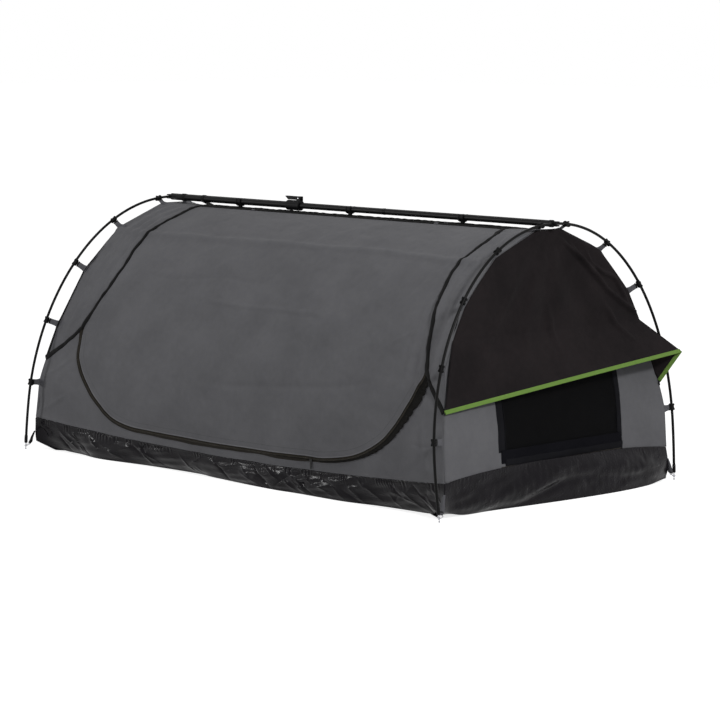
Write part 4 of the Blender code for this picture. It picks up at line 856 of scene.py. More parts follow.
grid = facingOut(endWallGrid(1), (1, 0, 0))
wall = meshObject("headWallCloth", grid, gridFaces(*grid.shape[:2]), gridCoords(grid))
cut = bmesh.new()
cut.from_mesh(wall.data)
lowY, highY = (endWall["windowOffset"] + way * endWall["windowHalf"] for way in (-1, 1))
for place, normal in (((0, lowY, 0), (0, 1, 0)), ((0, highY, 0), (0, 1, 0)),
                      ((0, 0, endWall["windowLow"]), (0, 0, 1)), ((0, 0, endWall["windowTop"]), (0, 0, 1))):
    bmesh.ops.bisect_plane(cut, geom=cut.verts[:] + cut.edges[:] + cut.faces[:], plane_co=place, plane_no=normal)
inside = [f for f in cut.faces if lowY < f.calc_center_median().y < highY
          and endWall["windowLow"] < f.calc_center_median().z < endWall["windowTop"]]
bmesh.ops.delete(cut, geom=inside, context="FACES")
cut.to_mesh(wall.data)
cut.free()
thick = wall.modifiers.new("clothWall", "SOLIDIFY")
thick.thickness, thick.offset = 0.0014, -1
dress(wall, "canvasGrey", "shelter", ["head_wall"])
print("canvas body made")


# ---- window and awning at the head end ----

def windowGrid(drop, margin, columns=60, rows=50):
    half = endWall["windowHalf"] - margin
    y = endWall["windowOffset"] + np.linspace(-half, half, columns)[None]
    z = np.linspace(endWall["windowTop"] - margin, endWall["windowLow"] + margin, rows)[:, None]
    sway = 0.0010 * softWaves(y + 0 * z, z + 0 * y, 61, 0.08, 0.3)
    x = endWallX(z, 1) - drop + np.minimum(sway, 0.0)
    return np.stack(np.broadcast_arrays(x, y, z), -1)


grid = windowGrid(0.0002, -0.004)
net = clothSheet("windowNet", grid, (1, 0, 0), 0.0008)
declareSheet(net, grid)
dress(net, "net", "shelter", ["window_mesh"])
grid = windowGrid(0.0030, -0.010)
cover = clothSheet("windowCover", grid, (1, 0, 0), 0.0016)
declareSheet(cover, grid)
dress(cover, "windowCloth", "window_cover", ["window_panel"])

windowTrim = {"width": 0.036, "narrow": 0.024, "thick": 0.0018, "zipHeight": 0.162}


def onHeadWall(y, z, lift=0.0):
    y, z = np.broadcast_arrays(np.asarray(y, float), np.asarray(z, float))
    return np.stack((endWallX(z, 1) + lift, y, z), -1)


low, high = endWall["windowLow"], endWall["windowTop"]
left = endWall["windowOffset"] - endWall["windowHalf"]
right = endWall["windowOffset"] + endWall["windowHalf"]
for number, (y, wide, start) in enumerate(((left - 0.016, windowTrim["width"], 0.048), (right - 0.012, windowTrim["narrow"], 0.040))):
    z = np.linspace(low + start, high + 0.010, 60)
    sway = 0.0012 * softWaves(z, 0 * z, 71 + number, 0.06, 0.2)
    piece = sweep(f"windowBinding{number + 1}", onHeadWall(y + sway, z, 0.0004), (1, 0, 0),
                  flatTape(wide, windowTrim["thick"], 0.001))
    dress(piece, "windowEdge", "shelter")
for number, z in enumerate((low + 0.002, high - 0.004)):
    y = np.linspace(left, right, 90)
    piece = sweep(f"windowBinding{number + 3}", onHeadWall(y, z + 0.001 * softWaves(y, 0 * y, 75, 0.07, 0.2), 0.0008),
                  (1, 0, 0), flatTape(windowTrim["width"], windowTrim["thick"], 0.001))
    dress(piece, "windowEdge", "shelter")
for number, y in enumerate((left + 0.006, right - 0.026)):  # fine seams down the window
    z = np.linspace(low + 0.01, high - 0.01, 60)
    piece = sweep(f"windowSeam{number + 1}", onHeadWall(y + 0.002 * softWaves(z, 0 * z, 81 + number, 0.1, 0.4), z, 0.0003),
                  (1, 0, 0), domeTape(0.0036, 0.0030))
    dress(piece, "windowEdge", "shelter")
y = np.linspace(left - 0.022, right - 0.008, 90)
piece = sweep("windowZip", onHeadWall(y, windowTrim["zipHeight"] + 0 * y, 0.0012), (1, 0, 0), domeTape(0.006, 0.0020))
dress(piece, "zipCoil", "shelter")
piece = sweep("windowSkirt", onHeadWall(y, 0.187 + 0 * y, 0.0012), (1, 0, 0), flatTape(0.078, 0.0012, 0.0006))
dress(piece, "windowCloth", "shelter")

awning = {
    "foldHeight": 0.646, "inset": 0.004, "standOff": 0.0003, "thick": 0.0016, "topAngle": 88.0, "nearRound": 0.9, "farRound": 0.6,
    "near": (1.1430, -0.6380, 0.3880), "far": (1.2200, 0.6600, 0.5215), "returnEnd": (1.1430, 0.6240, 0.3970),
    "hemWidth": 0.0165, "hemThick": 0.0013,
    "foldDepth": 0.012, "foldCount": 11, "foldLean": 0.6, "foldReach": 0.300, "edgePower": 6,
    "columns": 150, "upperRows": 70, "flapRows": 50, "returnColumns": 16,
    # lines of the sharper folds on the head plane: across and height, half-width and lift in metres
    "creases": (
        (((0.036, 1.010), (0.116, 0.954), (0.187, 0.897), (0.259, 0.840), (0.331, 0.782), (0.435, 0.722),
          (0.541, 0.667), (0.600, 0.600)), 0.010, 0.0120),
        (((0.209, 0.955), (0.244, 0.887), (0.311, 0.850), (0.385, 0.826), (0.436, 0.762), (0.478, 0.712)), 0.008, 0.0085),
        (((0.117, 0.980), (0.167, 0.918), (0.239, 0.874), (0.300, 0.815)), 0.009, 0.0075),
        (((0.300, 0.740), (0.369, 0.652), (0.431, 0.594), (0.498, 0.528)), 0.013, 0.0080),
        (((-0.020, 0.760), (0.006, 0.626), (0.022, 0.559), (0.033, 0.506)), 0.015, 0.0060),
        (((-0.150, 0.900), (-0.260, 0.760), (-0.380, 0.600), (-0.500, 0.430)), 0.022, 0.0040),
        (((-0.080, 0.930), (-0.120, 0.760), (-0.180, 0.560), (-0.230, 0.450)), 0.020, 0.0035),
    ),
}


def awningFaceX(height):
    return canvasEndX(height, 1) + awning["standOff"] + 0.002


def awningFold(y, z, half):
    down = body["top"] - z
    wave = (1 - np.cos(np.arctan2(y, down) * awning["foldCount"] + awning["foldLean"])) / 2
    nearEdge = np.maximum(0, 1 - np.abs(y / half) ** awning["edgePower"])
    broad = awning["foldDepth"] * wave * nearEdge * smoothStep(np.hypot(y, down) / awning["foldReach"])
    sharp = 0
    for line, width, lift in awning["creases"]:
        sharp = sharp + 1.7 * lift * nearLine(y, z, line, width)
    soft = 0.0016 * softWaves(y, z, 91, 0.10, 0.35)
    return broad + (sharp + soft + 0.0016) * smoothStep((1 - np.abs(y / half)) / 0.05)


def awningEdge(angle, side):  # the sewn edge: rounder than the canvas arch between its tabs
    edge = canvasPoint(1.0, angle if side < 0 else pi - angle)
    plain = smoothSection(1.0, angle)
    round_ = awning["nearRound"] if side < 0 else awning["farRound"]
    return between(abs(edge[1]), abs(plain[0]), round_) - awning["inset"]


def awningGrid():
    columns, back = awning["columns"], awning["returnColumns"]
    foldAngle = asin((awning["foldHeight"] - body["springHeight"]) / (body["top"] - body["springHeight"]))
    across = np.linspace(-1, 1, columns)
    foldNear, foldFar = awningEdge(foldAngle, -1), awningEdge(foldAngle, 1)
    foldHalf = (foldNear + foldFar) / 2
    rows = []
    for climb in np.linspace(1, 0, awning["upperRows"]):
        edge = canvasPoint(1.0, between(foldAngle, radians(awning["topAngle"]), climb))
        z = edge[2] - awning["inset"] / 2 * climb if climb > 0 else awning["foldHeight"]
        near, far = (awningEdge(between(foldAngle, radians(awning["topAngle"]), climb), way) for way in (-1, 1))
        half = (near + far) / 2
        y = across * half + (far - near) / 2
        x = awningFaceX(z) + awningFold(y, z + 0 * y, half)
        fold = np.stack((x, y, z + 0 * y), -1)
        inner = fold[-1] + np.outer(np.linspace(0, 1, back + 1)[1:], (-0.0004, 0.0006, -0.0006))
        rows.append(np.concatenate((fold, inner)))
    top = np.stack((awningFaceX(awning["foldHeight"]) + 0 * across, across * foldHalf + (foldFar - foldNear) / 2,
                    awning["foldHeight"] + 0 * across), -1)
    near, far, end = (np.array(awning[key]) for key in ("near", "far", "returnEnd"))
    low = near + np.outer((across + 1) / 2, far - near)
    share = np.linspace(0, 1, back + 1)[1:, None]
    top = np.concatenate((top, top[-1] + share * np.array((-awning["standOff"], 0.006, -0.006))))
    low = np.concatenate((low, between(far, end, share)))
    flat = np.concatenate((across, np.full(back, 1.0)))
    for down in np.linspace(0, 1, awning["flapRows"])[1:]:
        row = between(top, low, down)
        sag = 4 * down * (1 - down)
        y, z = row[:, 1], row[:, 2]
        lift = awningFold(y, z, foldHalf + 0.03) * (1 - smoothStep(down / 0.93)) * (np.abs(flat) < 1)
        # the pulled-out side curves away from the wall instead of breaking at the fold line
        ease = -0.020 * sag * (1 - down) * smoothStep((flat + 0.3) / 1.3) * (flat < 1)
        row[:, 0] += np.maximum(lift + ease, 0) + 0.4 * np.minimum(lift + ease, 0)
        # the free edge of the return hangs back against the wall
        row[columns:] -= sag * share * np.array((0.024, 0.006, 0))
        rows.append(row)
    return np.array(rows)


grid = awningGrid()
cloth = clothSheet("awningCloth", grid, (1, 0, 0), awning["thick"])
dress(cloth, "canvasBlack", None, ["awning_upper", "awning_flap"])
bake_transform(cloth)

hemEdge = grid[-1]
rise = unit(grid[-6] - grid[-1])
count = awning["columns"]
runs = ((0, count), (count - 1, len(hemEdge)))
for number, (start, stop) in enumerate(runs):
    path = hemEdge[start:stop] + rise[start:stop] * awning["hemWidth"] / 2
    along = unit(np.gradient(path, axis=0))
    outward = unit(np.cross(along, rise[start:stop]))
    if outward[len(outward) // 2, 0] < 0 and number == 0:
        outward = -outward
    if number == 1 and outward[len(outward) // 2, 1] < 0:
        outward = -outward
    piece = sweep(f"awningHem{number + 1}", path + outward * 0.0002, outward,
                  roundedBar(awning["hemWidth"], 0.0042, 0.0016))
    if number == 0:
        dress(piece, "webbingGreen", "awning", ["awning_trim"])
    else:
        dress(piece, "webbingGreen", "awning")
# toggle at the end of the return
end = np.array(awning["returnEnd"])
path = end + np.outer(np.linspace(-0.5, 0.5, 12), (0.004, 0.002, -0.016)) + np.array((-0.004, -0.001, -0.004))
piece = sweep("awningToggle", path, (0, 1, 0), circle(0.0032, 12), 0.75 + 0.25 * np.sin(np.linspace(0, pi, 12)),
              0.75 + 0.25 * np.sin(np.linspace(0, pi, 12)))
dress(piece, "nylon", "awning")
print("head end made")


# ---- tub and mattress ----

tub = {
    # the outline on the ground: corners drawn out by their straps, sides and ends softly wavy
    "side": ((-1.186, 0.652), (-1.130, 0.624), (-1.050, 0.604), (-0.950, 0.603), (-0.790, 0.628), (-0.520, 0.596),
             (-0.250, 0.584), (-0.120, 0.602), (0.205, 0.628), (0.370, 0.621), (0.610, 0.620), (0.780, 0.592),
             (0.990, 0.580), (1.100, 0.606), (1.158, 0.654)),
    "footEnd": ((-0.652, -1.186), (-0.560, -1.148), (-0.350, -1.156), (0.0, -1.140), (0.350, -1.158), (0.560, -1.148),
                (0.652, -1.186)),
    "headEnd": ((-0.654, 1.158), (-0.560, 1.128), (-0.400, 1.130), (-0.200, 1.152), (0.070, 1.180), (0.310, 1.192),
                (0.500, 1.182), (0.600, 1.168), (0.654, 1.158)),
    "cornerLift": (0.036, 0.030, 0.034, 0.010), "liftReach": 0.095, "calmReach": 0.09,
    "footX": -1.135, "headX": 1.140, "bulge": 0.010, "seamDrop": 0.0014, "headRise": 0.019,
    "bulgeShares": ((0, 0), (0.20, 0.70), (0.45, 1.0), (0.74, 0.62), (1, 0)),
    "foldDepth": 0.011, "foldWidth": 0.26,
    "foldLine": ((-1.0, 0.05), (-0.45, 0.35), (0.10, 0.80), (0.60, 0.62), (1.0, 0.30)),
    "sidePoints": 900, "endPoints": 260, "rings": 54, "floorRings": 16, "thick": 0.0016,
    # sharp crinkles: how many on each side, their length, lean, half-width and height in metres
    "crinkles": 64, "crinkleLength": (0.05, 0.19), "crinkleLean": (18.0, 62.0), "crinkleWidth": (0.0045, 0.0105),
    "crinkleHeight": (0.0030, 0.0068),
}


def tubTop():
    share = np.linspace(0, 1, tub["sidePoints"])
    across = np.linspace(-1, 1, tub["endPoints"])[1:-1]
    near = canvasPoint(share, tubAngle(share)) - np.array((0, 0, tub["seamDrop"]))
    far = near[::-1] * np.array((1, -1, 1))
    ends = []
    for end, half in ((1, abs(near[-1, 1])), (0, abs(near[0, 1]))):
        rise = tub["headRise"] * (1 - across ** 4) if end else 0 * across
        z = tubEndHeight(across) + rise
        ends.append(np.stack((canvasEndX(z, end) + (0.0068 if end else 0) * (1 - across ** 6), across * half, z), -1))
    return (np.concatenate((near, ends[0], far, ends[1][::-1])),
            np.concatenate((0 * share, 1 + 0 * across, 0 * share, 1 + 0 * across)))


def tubFloor(top):
    # each point of the top edge has its point on the ground outline
    side, ends = tub["sidePoints"], tub["endPoints"] - 2
    lines = [np.array(tub[key]) for key in ("side", "headEnd", "footEnd")]
    dense = [spline(line, np.linspace(0, len(line) - 1, 400)) for line in lines]

    def along(line, count, inner):
        walk = np.concatenate(([0], np.cumsum(np.hypot(*np.diff(line, axis=0).T))))
        spots = np.linspace(0, walk[-1], count + 2)[1:-1] if inner else np.linspace(0, walk[-1], count)
        return np.stack([np.interp(spots, walk, line[:, way]) for way in (0, 1)], -1)
    wall = along(dense[0], side, False)
    head, foot = along(dense[1], ends, True), along(dense[2], ends, True)
    near = np.stack((wall[:, 0], -wall[:, 1]), -1)
    far = np.stack((wall[::-1, 0], wall[::-1, 1]), -1)
    flat = np.concatenate((near, head[:, ::-1], far, foot[::-1, ::-1]))
    z = np.zeros(len(flat))
    for at, lift in zip((0, side - 1, 2 * side + ends - 1, side + ends), tub["cornerLift"]):
        z = np.maximum(z, lift * np.exp(-(np.hypot(*(flat - flat[at]).T) / tub["liftReach"]) ** 2))
    return np.concatenate((flat, z[:, None]), 1)


def crinkled(u, v, length, height, seed):
    # cusped creases scattered over the strip, most of them running down towards the head end
    dice = np.random.default_rng(seed)
    total = np.zeros(np.broadcast(u, v).shape)
    for _ in range(tub["crinkles"]):
        reach = dice.uniform(*tub["crinkleLength"])
        lean = radians(dice.uniform(*tub["crinkleLean"])) * (1 if dice.random() < 0.85 else -1)
        middle = np.array((dice.random() * length, dice.random() * height))
        half = np.array((cos(lean), -sin(lean))) * reach / 2
        width, lift = dice.uniform(*tub["crinkleWidth"]), dice.uniform(*tub["crinkleHeight"])
        gone = np.clip(((u - middle[0]) * half[0] + (v - middle[1]) * half[1]) / (half @ half), -1, 1)
        off = np.hypot(u - middle[0] - gone * half[0], v - middle[1] - gone * half[1])
        total += lift * (1 if dice.random() < 0.6 else -1) * np.exp(-off / width) * (1 - np.abs(gone)) ** 0.6
    return total


def tubSkin():
    top, isEnd = tubTop()
    low = tubFloor(top)
    # square out from each wall, turning smoothly to the diagonal at the corners
    sides, ends = tub["sidePoints"], tub["endPoints"] - 2
    calm = np.ones(len(top))
    for at in (0, sides - 1, 2 * sides + ends - 1, sides + ends):
        calm = np.minimum(calm, smoothStep(np.linalg.norm(top - top[at], axis=1) / tub["calmReach"]))
    signs = np.sign(top) * np.array((1, 1, 0))
    square = signs * np.where(isEnd[:, None] > 0, (1, 0, 0), (0, 1, 0))
    away = unit(between(unit(signs), square, calm[:, None]))
    shares = np.array(tub["bulgeShares"])
    line = np.array(tub["foldLine"])
    walk = np.concatenate(([0], np.cumsum(np.linalg.norm(np.diff(top, axis=0), axis=1))))
    climb = np.linspace(1, 0, tub["rings"])[:, None]
    bulge = tub["bulge"] * spline(shares[:, 1:], np.interp(climb[:, 0], shares[:, 0], np.arange(len(shares))))
    across = top[:, 1] / body["halfWidth"]
    # one large soft fold lies across each end
    index = np.clip(np.searchsorted(line[:, 0], across, side="right") - 1, 0, len(line) - 2)
    rise = smoothStep((across - line[index, 0]) / (line[index + 1, 0] - line[index, 0]))
    crest = between(line[index, 1], line[index + 1, 1], rise)[None]
    off = np.minimum(1, np.abs(climb - crest) / (2 * tub["foldWidth"]))
    middle = ((1 - across ** 4) * isEnd)[None]
    fold = tub["foldDepth"] * 1.25 * (1 - smoothStep(off)) ** 1.3 * middle
    fold = fold - 0.006 * np.exp(-((climb - crest + 0.30) / 0.10) ** 2) * middle
    # short uneven puckers under the seam, long wrinkles and sharp crinkles below them
    side = (1 - isEnd)[None]
    pitch = 0.017 + 0.006 * softWaves(walk, 0 * walk, 101, 0.2, 0.6)
    phase = np.cumsum(np.gradient(walk) / np.maximum(pitch, 0.008))
    patches = smoothStep(softWaves(walk, 0 * walk, 102, 0.05, 0.30) * 0.9 + 0.4)
    pucker = 0.0022 * np.sin(2 * pi * phase) * patches * np.exp(-((1 - climb) / 0.20) ** 2) * smoothStep((1 - climb) / 0.05)
    height = body["tubEdge"] - 0.02
    long = softWaves(walk[None] + (1 - climb) * 0.22, 0.4 * climb + 0 * walk[None], 107, 0.12, 0.40)
    sharp = np.zeros((tub["rings"], len(walk)))
    for seed, (start, stop) in ((211, (0, tub["sidePoints"])), (212, (tub["sidePoints"] + tub["endPoints"] - 2,
                                                                      2 * tub["sidePoints"] + tub["endPoints"] - 2))):
        part = walk[start:stop] - walk[start]
        sharp[:, start:stop] = crinkled(part[None], climb * height, part[-1], height, seed)
    held = calm * np.where(climb > 0, np.sin(pi * np.minimum(1, climb * 1.04)), 0) ** 0.6
    crumple = held * (side * (sharp + 0.0030 * long) + (1 - side) * (0.0018 * long + 0.0006 * softWaves(
        walk[None], climb * 0.12, 109, 0.03, 0.10)))
    lift = (bulge * (1 - 0.7 * smoothStep(low[:, 2] / 0.03)[None]) + fold + pucker * (side + 0.3 * (1 - side)) + crumple)
    rings = between(low[None], top[None], climb[..., None]) + away[None] * lift[..., None]
    rings[..., 2] = np.maximum(rings[..., 2], 0)
    last = rings[-1]
    floor = [last * np.array((inward, inward, 0)) for inward in np.linspace(1, 0.02, tub["floorRings"])[1:]]
    return np.concatenate((rings, floor)), walk


skin, walk = tubSkin()
rows, columns = skin.shape[:2]
down = np.concatenate(([0], np.cumsum(np.linalg.norm(np.diff(skin[:, 0], axis=0), axis=1))))
coords = np.stack(np.broadcast_arrays(walk[None, :], down[:, None]), -1)
faces = gridFaces(rows, columns, True).tolist() + [tuple((rows - 1) * columns + i for i in range(columns))]
tubCloth = meshObject("tubCloth", skin, faces, coords)
turn = bmesh.new()
turn.from_mesh(tubCloth.data)
bmesh.ops.recalc_face_normals(turn, faces=turn.faces)
turn.faces.ensure_lookup_table()
if turn.faces[-1].normal.z > 0:
    bmesh.ops.reverse_faces(turn, faces=turn.faces)
turn.to_mesh(tubCloth.data)
turn.free()
wall = tubCloth.modifiers.new("clothWall", "SOLIDIFY")
wall.thickness, wall.offset = tub["thick"], -1
dress(tubCloth, "tubGloss", "shelter", ["pvc_tub"])

mattress = {
    "length": 2.080, "width": 1.050, "edge": 0.042, "crown": 0.016, "drawIn": 0.012, "corner": 0.060,
    "pitch": 0.208, "depth": 0.007, "base": 0.0023, "lengthSteps": 220, "widthSteps": 90,
}


def mattressRings():
    halfLength, halfWidth = mattress["length"] / 2, mattress["width"] / 2
    middleX = (tub["headX"] + tub["footX"]) / 2
    across = np.linspace(-1, 1, mattress["widthSteps"] + 1)
    rings = []
    for x in np.linspace(-halfLength, halfLength, mattress["lengthSteps"] + 1):
        gone = max(halfLength - abs(x), 0.004)
        c = mattress["corner"]
        half = halfWidth if gone >= c else halfWidth - c + sqrt(max(0, c * c - (c - gone) ** 2))
        share = float(smoothStep((halfLength - abs(x)) / (2 * c)))
        wave = abs(sin(pi * (x + halfLength) / mattress["pitch"]))
        channel = mattress["depth"] * max(0.0, 1 - wave * 3) ** 1.5 * share
        tuft = 0.0012 * np.sin(across * half * 2 * pi / 0.035) * max(0.0, 1 - wave * 2.2) * share
        crown = mattress["crown"] * (1 - across ** 4) * between(0.35, 1, share)
        top = mattress["base"] + mattress["edge"] + crown - channel + tuft
        loop = [(y * (half - 0.0072), z) for y, z in zip(across, top)]
        full = mattress["edge"] + mattress["crown"] * 0.35
        for turn in np.linspace(0.5, -0.5, 9)[1:-1]:
            loop.append((half - 0.012 * (2 * turn) ** 2, mattress["base"] + full * (0.48 + turn * 0.92)))
        loop += [(y * (half - mattress["drawIn"]), mattress["base"]) for y in across[::-1]]
        for turn in np.linspace(-0.5, 0.5, 9)[1:-1]:
            loop.append((-(half - 0.012 * (2 * turn) ** 2), mattress["base"] + full * (0.48 + turn * 0.92)))
        rings.append([(middleX + x, y, z) for y, z in loop])
    return np.array(rings)


rings = mattressRings()
count, around = rings.shape[:2]
faces = gridFaces(count, around, True).tolist()
faces += [tuple(range(around))[::-1], tuple((count - 1) * around + i for i in range(around))]
coords = np.stack((rings[..., 0], rings[..., 1] + rings[..., 2]), -1)
bed = meshObject("mattressPad", rings, faces, coords)
turn = bmesh.new()
turn.from_mesh(bed.data)
bmesh.ops.recalc_face_normals(turn, faces=turn.faces)
turn.to_mesh(bed.data)
turn.free()
dress(bed, "mattressCover", "shelter", ["mattress"])
print("tub and mattress made")


# hoops: smooth tubes with a ferrule at each foot
hoopLook = {"sides": 20, "legSteps": 24, "archSteps": 240, "ferruleLength": 0.034, "ferruleRadius": 0.0070, "radius": 0.0055}
legHeight = hoops["springHeight"] - hoops["footHeight"]

for end, endName in ((0, "foot"), (1, "head")):
    rise = np.linspace(0, 1, hoopLook["legSteps"], endpoint=False)
    arch = hoopPoint(np.linspace(0, pi, hoopLook["archSteps"]), end)
    path = np.concatenate((legPoint(rise, end, -1), arch, legPoint(rise[::-1], end, 1)))
    pole = sweep(endName + "HoopPole", path, (1, 0, 0), circle(hoopLook["radius"], hoopLook["sides"]))
    dress(pole, "pole", "shelter", [endName + "_hoop"])
    for side, sideName in ((-1, "Near"), (1, "Far")):
        low = legPoint(np.linspace(0, hoopLook["ferruleLength"] / legHeight, 8), end, side)
        cap = sweep(endName + sideName + "Ferrule", low, (1, 0, 0), circle(hoopLook["ferruleRadius"], 20),
                    (0.86, 1, 1, 1, 1, 1, 0.97, 0.84), (0.86, 1, 1, 1, 1, 1, 0.97, 0.84))
        dress(cap, "nylon", "shelter")


def arcBand(name, centre, outWay, sideWay, axis, radius, wall, width, opening, steps=28):
    # a band round a pole, open on the side away from outWay
    turn = np.linspace(opening - pi, pi - opening, steps)[:, None]
    path = centre + (np.cos(turn) * outWay + np.sin(turn) * sideWay) * (radius + wall / 2)
    return sweep(name, path, axis, roundedBar(wall, width, wall * 0.42))


def ringBand(name, centre, axis, radius, wall, width, steps=32):  # a closed band round a pole
    axis = np.asarray(axis, float)
    one = unit(np.cross(axis, (0.3, 0.5, 0.8)))
    two = np.cross(axis, one)
    turn = np.linspace(0, 2 * pi, steps, endpoint=False)[:, None]
    path = centre + (np.cos(turn) * one + np.sin(turn) * two) * (radius + wall / 2)
    return sweep(name, path, axis, roundedBar(wall, width, wall * 0.42), closed=True)


clipLook = {
    "bore": 0.0057, "wall": 0.0040, "length": 0.0265, "opening": 48.0, "ribWall": 0.0060, "ribLength": 0.0085,
    "neck": 0.0060, "neckWidth": 0.0150, "neckThick": 0.0046, "barRadius": 0.0026, "barLength": 0.0250,
    "tabWidth": 0.0240, "tabThick": 0.0018, "tabFlare": 1.45, "tabReach": 0.030,
}


def hoopClip(node, end, clipAngle):
    # nylon C-clip with two ribs, a neck and a crossbar; grey webbing runs from the bar onto the canvas
    pole = hoopPoint(clipAngle, end)
    along = hoopTangent(clipAngle, end)
    angle = facingAngle(clipAngle, end)
    edge = canvasPoint(float(end), angle)
    tab = edge - pole
    tab = unit(tab - along * (tab @ along))
    normal = np.cross(along, tab)
    opening = radians(clipLook["opening"])
    ribShift = (clipLook["length"] - clipLook["ribLength"]) / 2
    reach = clipLook["bore"] + clipLook["wall"]
    bar = pole + tab * (reach + clipLook["neck"])
    parts = [
        arcBand("band", pole, tab, normal, along, clipLook["bore"], clipLook["wall"], clipLook["length"], opening),
        sweep("neck", pole + np.outer(np.linspace(reach - 0.0012, reach + clipLook["neck"], 4), tab), normal,
              roundedBar(clipLook["neckWidth"], clipLook["neckThick"], 0.0016)),
        sweep("bar", bar + np.outer(np.linspace(-0.5, 0.5, 6) * clipLook["barLength"], along), tab,
              circle(clipLook["barRadius"], 12), (0.7, 1, 1, 1, 1, 0.7), (0.7, 1, 1, 1, 1, 0.7)),
    ]
    for shift in (-ribShift, ribShift):
        parts.append(arcBand("rib", pole + along * shift, tab, normal, along, clipLook["bore"], clipLook["ribWall"],
                             clipLook["ribLength"], opening))
    title = node.replace("_", " ").title().replace(" ", "")
    dress(joinPieces(title + "Body", parts), "nylon", "shelter", [node])
    inward = 1 if end == 0 else -1
    steps = np.array((0.35, 0.7, 1.0)) * clipLook["tabReach"] / 2.3 * inward
    knots = [bar - tab * clipLook["barRadius"], bar + tab * 0.004, between(bar, edge, 0.7)]
    outward = canvasNormal(float(end), angle)
    knots.append(edge + outward * 0.0016 - (canvasPoint(end + steps[0], angle) - edge) * 0.02)
    knots += list(clothPoint(end + steps, angle, 0.0012))
    path = spline(np.array(knots), np.linspace(0, len(knots) - 1, 26))
    widths = np.interp(np.linspace(0, 1, 26), (0, 0.30, 0.55, 1), (0.92, 1, clipLook["tabFlare"] * 0.86, clipLook["tabFlare"]))
    tape = sweep(title + "Tab", path,
                 np.cross(np.gradient(path, axis=0), along), roundedBar(clipLook["tabWidth"], clipLook["tabThick"], 0.0007),
                 widths)
    dress(tape, "webbingGrey", "shelter")


for end, endName in ((0, "foot"), (1, "head")):
    for index, clipAngle in enumerate(nearClips + [pi - at for at in reversed(nearClips)]):
        sideName = "near" if index < len(nearClips) else "far"
        number = index + 1 if index < len(nearClips) else 2 * len(nearClips) - index
        hoopClip(f"{endName}_{sideName}_clip_{number}", end, clipAngle)
print("hoops and clips made")

ridge = {
    "outerRadius": 0.0142, "innerRadius": 0.0125, "clipShares": (0.2016651, 0.5013876, 0.7858464), "clampShare": 0.3524514,
    "bore": 0.0002, "wall": 0.0030, "ribWall": 0.0056, "ribLength": 0.0090, "length": 0.0300, "opening": 48.0,
    "tailWidth": 0.0270, "tailThick": 0.0090, "seamX": 0.218,
    "strapTopX": -0.845, "strapFootX": -0.785, "strapWidth": 0.016, "tabX": -0.971,
    "greyTabs": (-0.502, 0.535),
}
axisX, downZ, sideY = np.array((1.0, 0, 0)), np.array((0, 0, -1.0)), np.array((0, 1.0, 0))


def ridgePoint(share):
    return np.array((between(hoops["topX"][0], hoops["topX"][1], share), 0, poleAxis))


for number, share in enumerate(ridge["clipShares"]):
    place = ridgePoint(share)
    radius = ridge["outerRadius"] if share < ridge["clampShare"] else ridge["innerRadius"]
    opening = radians(ridge["opening"])
    reach = radius + ridge["bore"]
    drop = poleAxis - hingeZ - reach - 0.0006
    parts = [arcBand("band", place, downZ, sideY, axisX, reach, ridge["wall"], ridge["length"], opening, 36),
             sweep("tail", place + np.outer(reach + np.array((0.0, 0.18, 0.45, 0.70, 0.88, 1.0)) * drop, downZ), sideY,
                   roundedBar(ridge["tailWidth"], ridge["tailThick"], 0.0026), (1, 0.92, 0.60, 0.42, 0.40, 0.52),
                   (1, 1, 0.9, 0.8, 0.8, 0.9))]
    for shift in (-0.5, 0.5):
        parts.append(arcBand("rib", place + axisX * shift * (ridge["length"] - ridge["ribLength"]), downZ, sideY, axisX,
                             reach, ridge["ribWall"], ridge["ribLength"], opening, 36))
    piece = joinPieces(f"ridgeClip{number + 1}Body", parts)
    dress(piece, "nylon", "shelter", [f"ridge_clip_{number + 1}"])
    across = np.linspace(-0.030, 0.030, 14)
    pad = sweep(f"ridgeClip{number + 1}Pad", np.stack((place[0] + 0 * across, across, hingeZ + 0.0012 + 0 * across), -1),
                (0, 0, 1), roundedBar(0.022, 0.0018, 0.0007))
    dress(pad, "webbingBlack", "shelter")

# a lock button and the swaged end of the next tube, on the sliding half of the ridge
seam = np.array((ridge["seamX"], 0, poleAxis))
parts = [ringBand("sleeve", seam, axisX, ridge["innerRadius"] - 0.0002, 0.0007, 0.0100, 40),
         ringBand("lip", seam + axisX * 0.0055, axisX, ridge["innerRadius"] - 0.0002, 0.0013, 0.0020, 40),
         sweep("button", seam + np.array((0.014, -ridge["innerRadius"], 0)) + np.outer((0.0008, -0.0006, -0.0014), sideY),
               (0, 0, 1), circle(0.0034, 14), (1, 0.94, 0.6), (1, 0.94, 0.6))]
dress(joinPieces("ridgeTubeJoint", parts), "ridgeTube", "ridge_inner")

# black strap that holds the foot end of the canvas up to the ridge pole, and a grey tab behind it
top, foot = ridge["strapTopX"], ridge["strapFootX"]
under = poleAxis - ridge["outerRadius"]
piece = ringBand("ridgeStrapLoop", np.array((top, 0, poleAxis)), axisX, ridge["outerRadius"] + 0.0002, 0.0015,
                 ridge["strapWidth"], 40)
dress(piece, "webbingBlack", "shelter")
path = spline(np.array(((top, 0, under - 0.0008), (between(top, foot, 0.30), 0, between(under, hingeZ, 0.34)),
                        (between(top, foot, 0.72), 0, between(under, hingeZ, 0.80)), (foot, 0, hingeZ + 0.0014),
                        (foot + 0.040, 0, hingeZ + 0.0012))), np.linspace(0, 4, 22))
piece = sweep("ridgeStrap", path, np.cross(np.gradient(path, axis=0), sideY),
              roundedBar(ridge["strapWidth"], 0.0020, 0.0008))
dress(piece, "webbingBlack", "shelter")
tabX = ridge["tabX"]
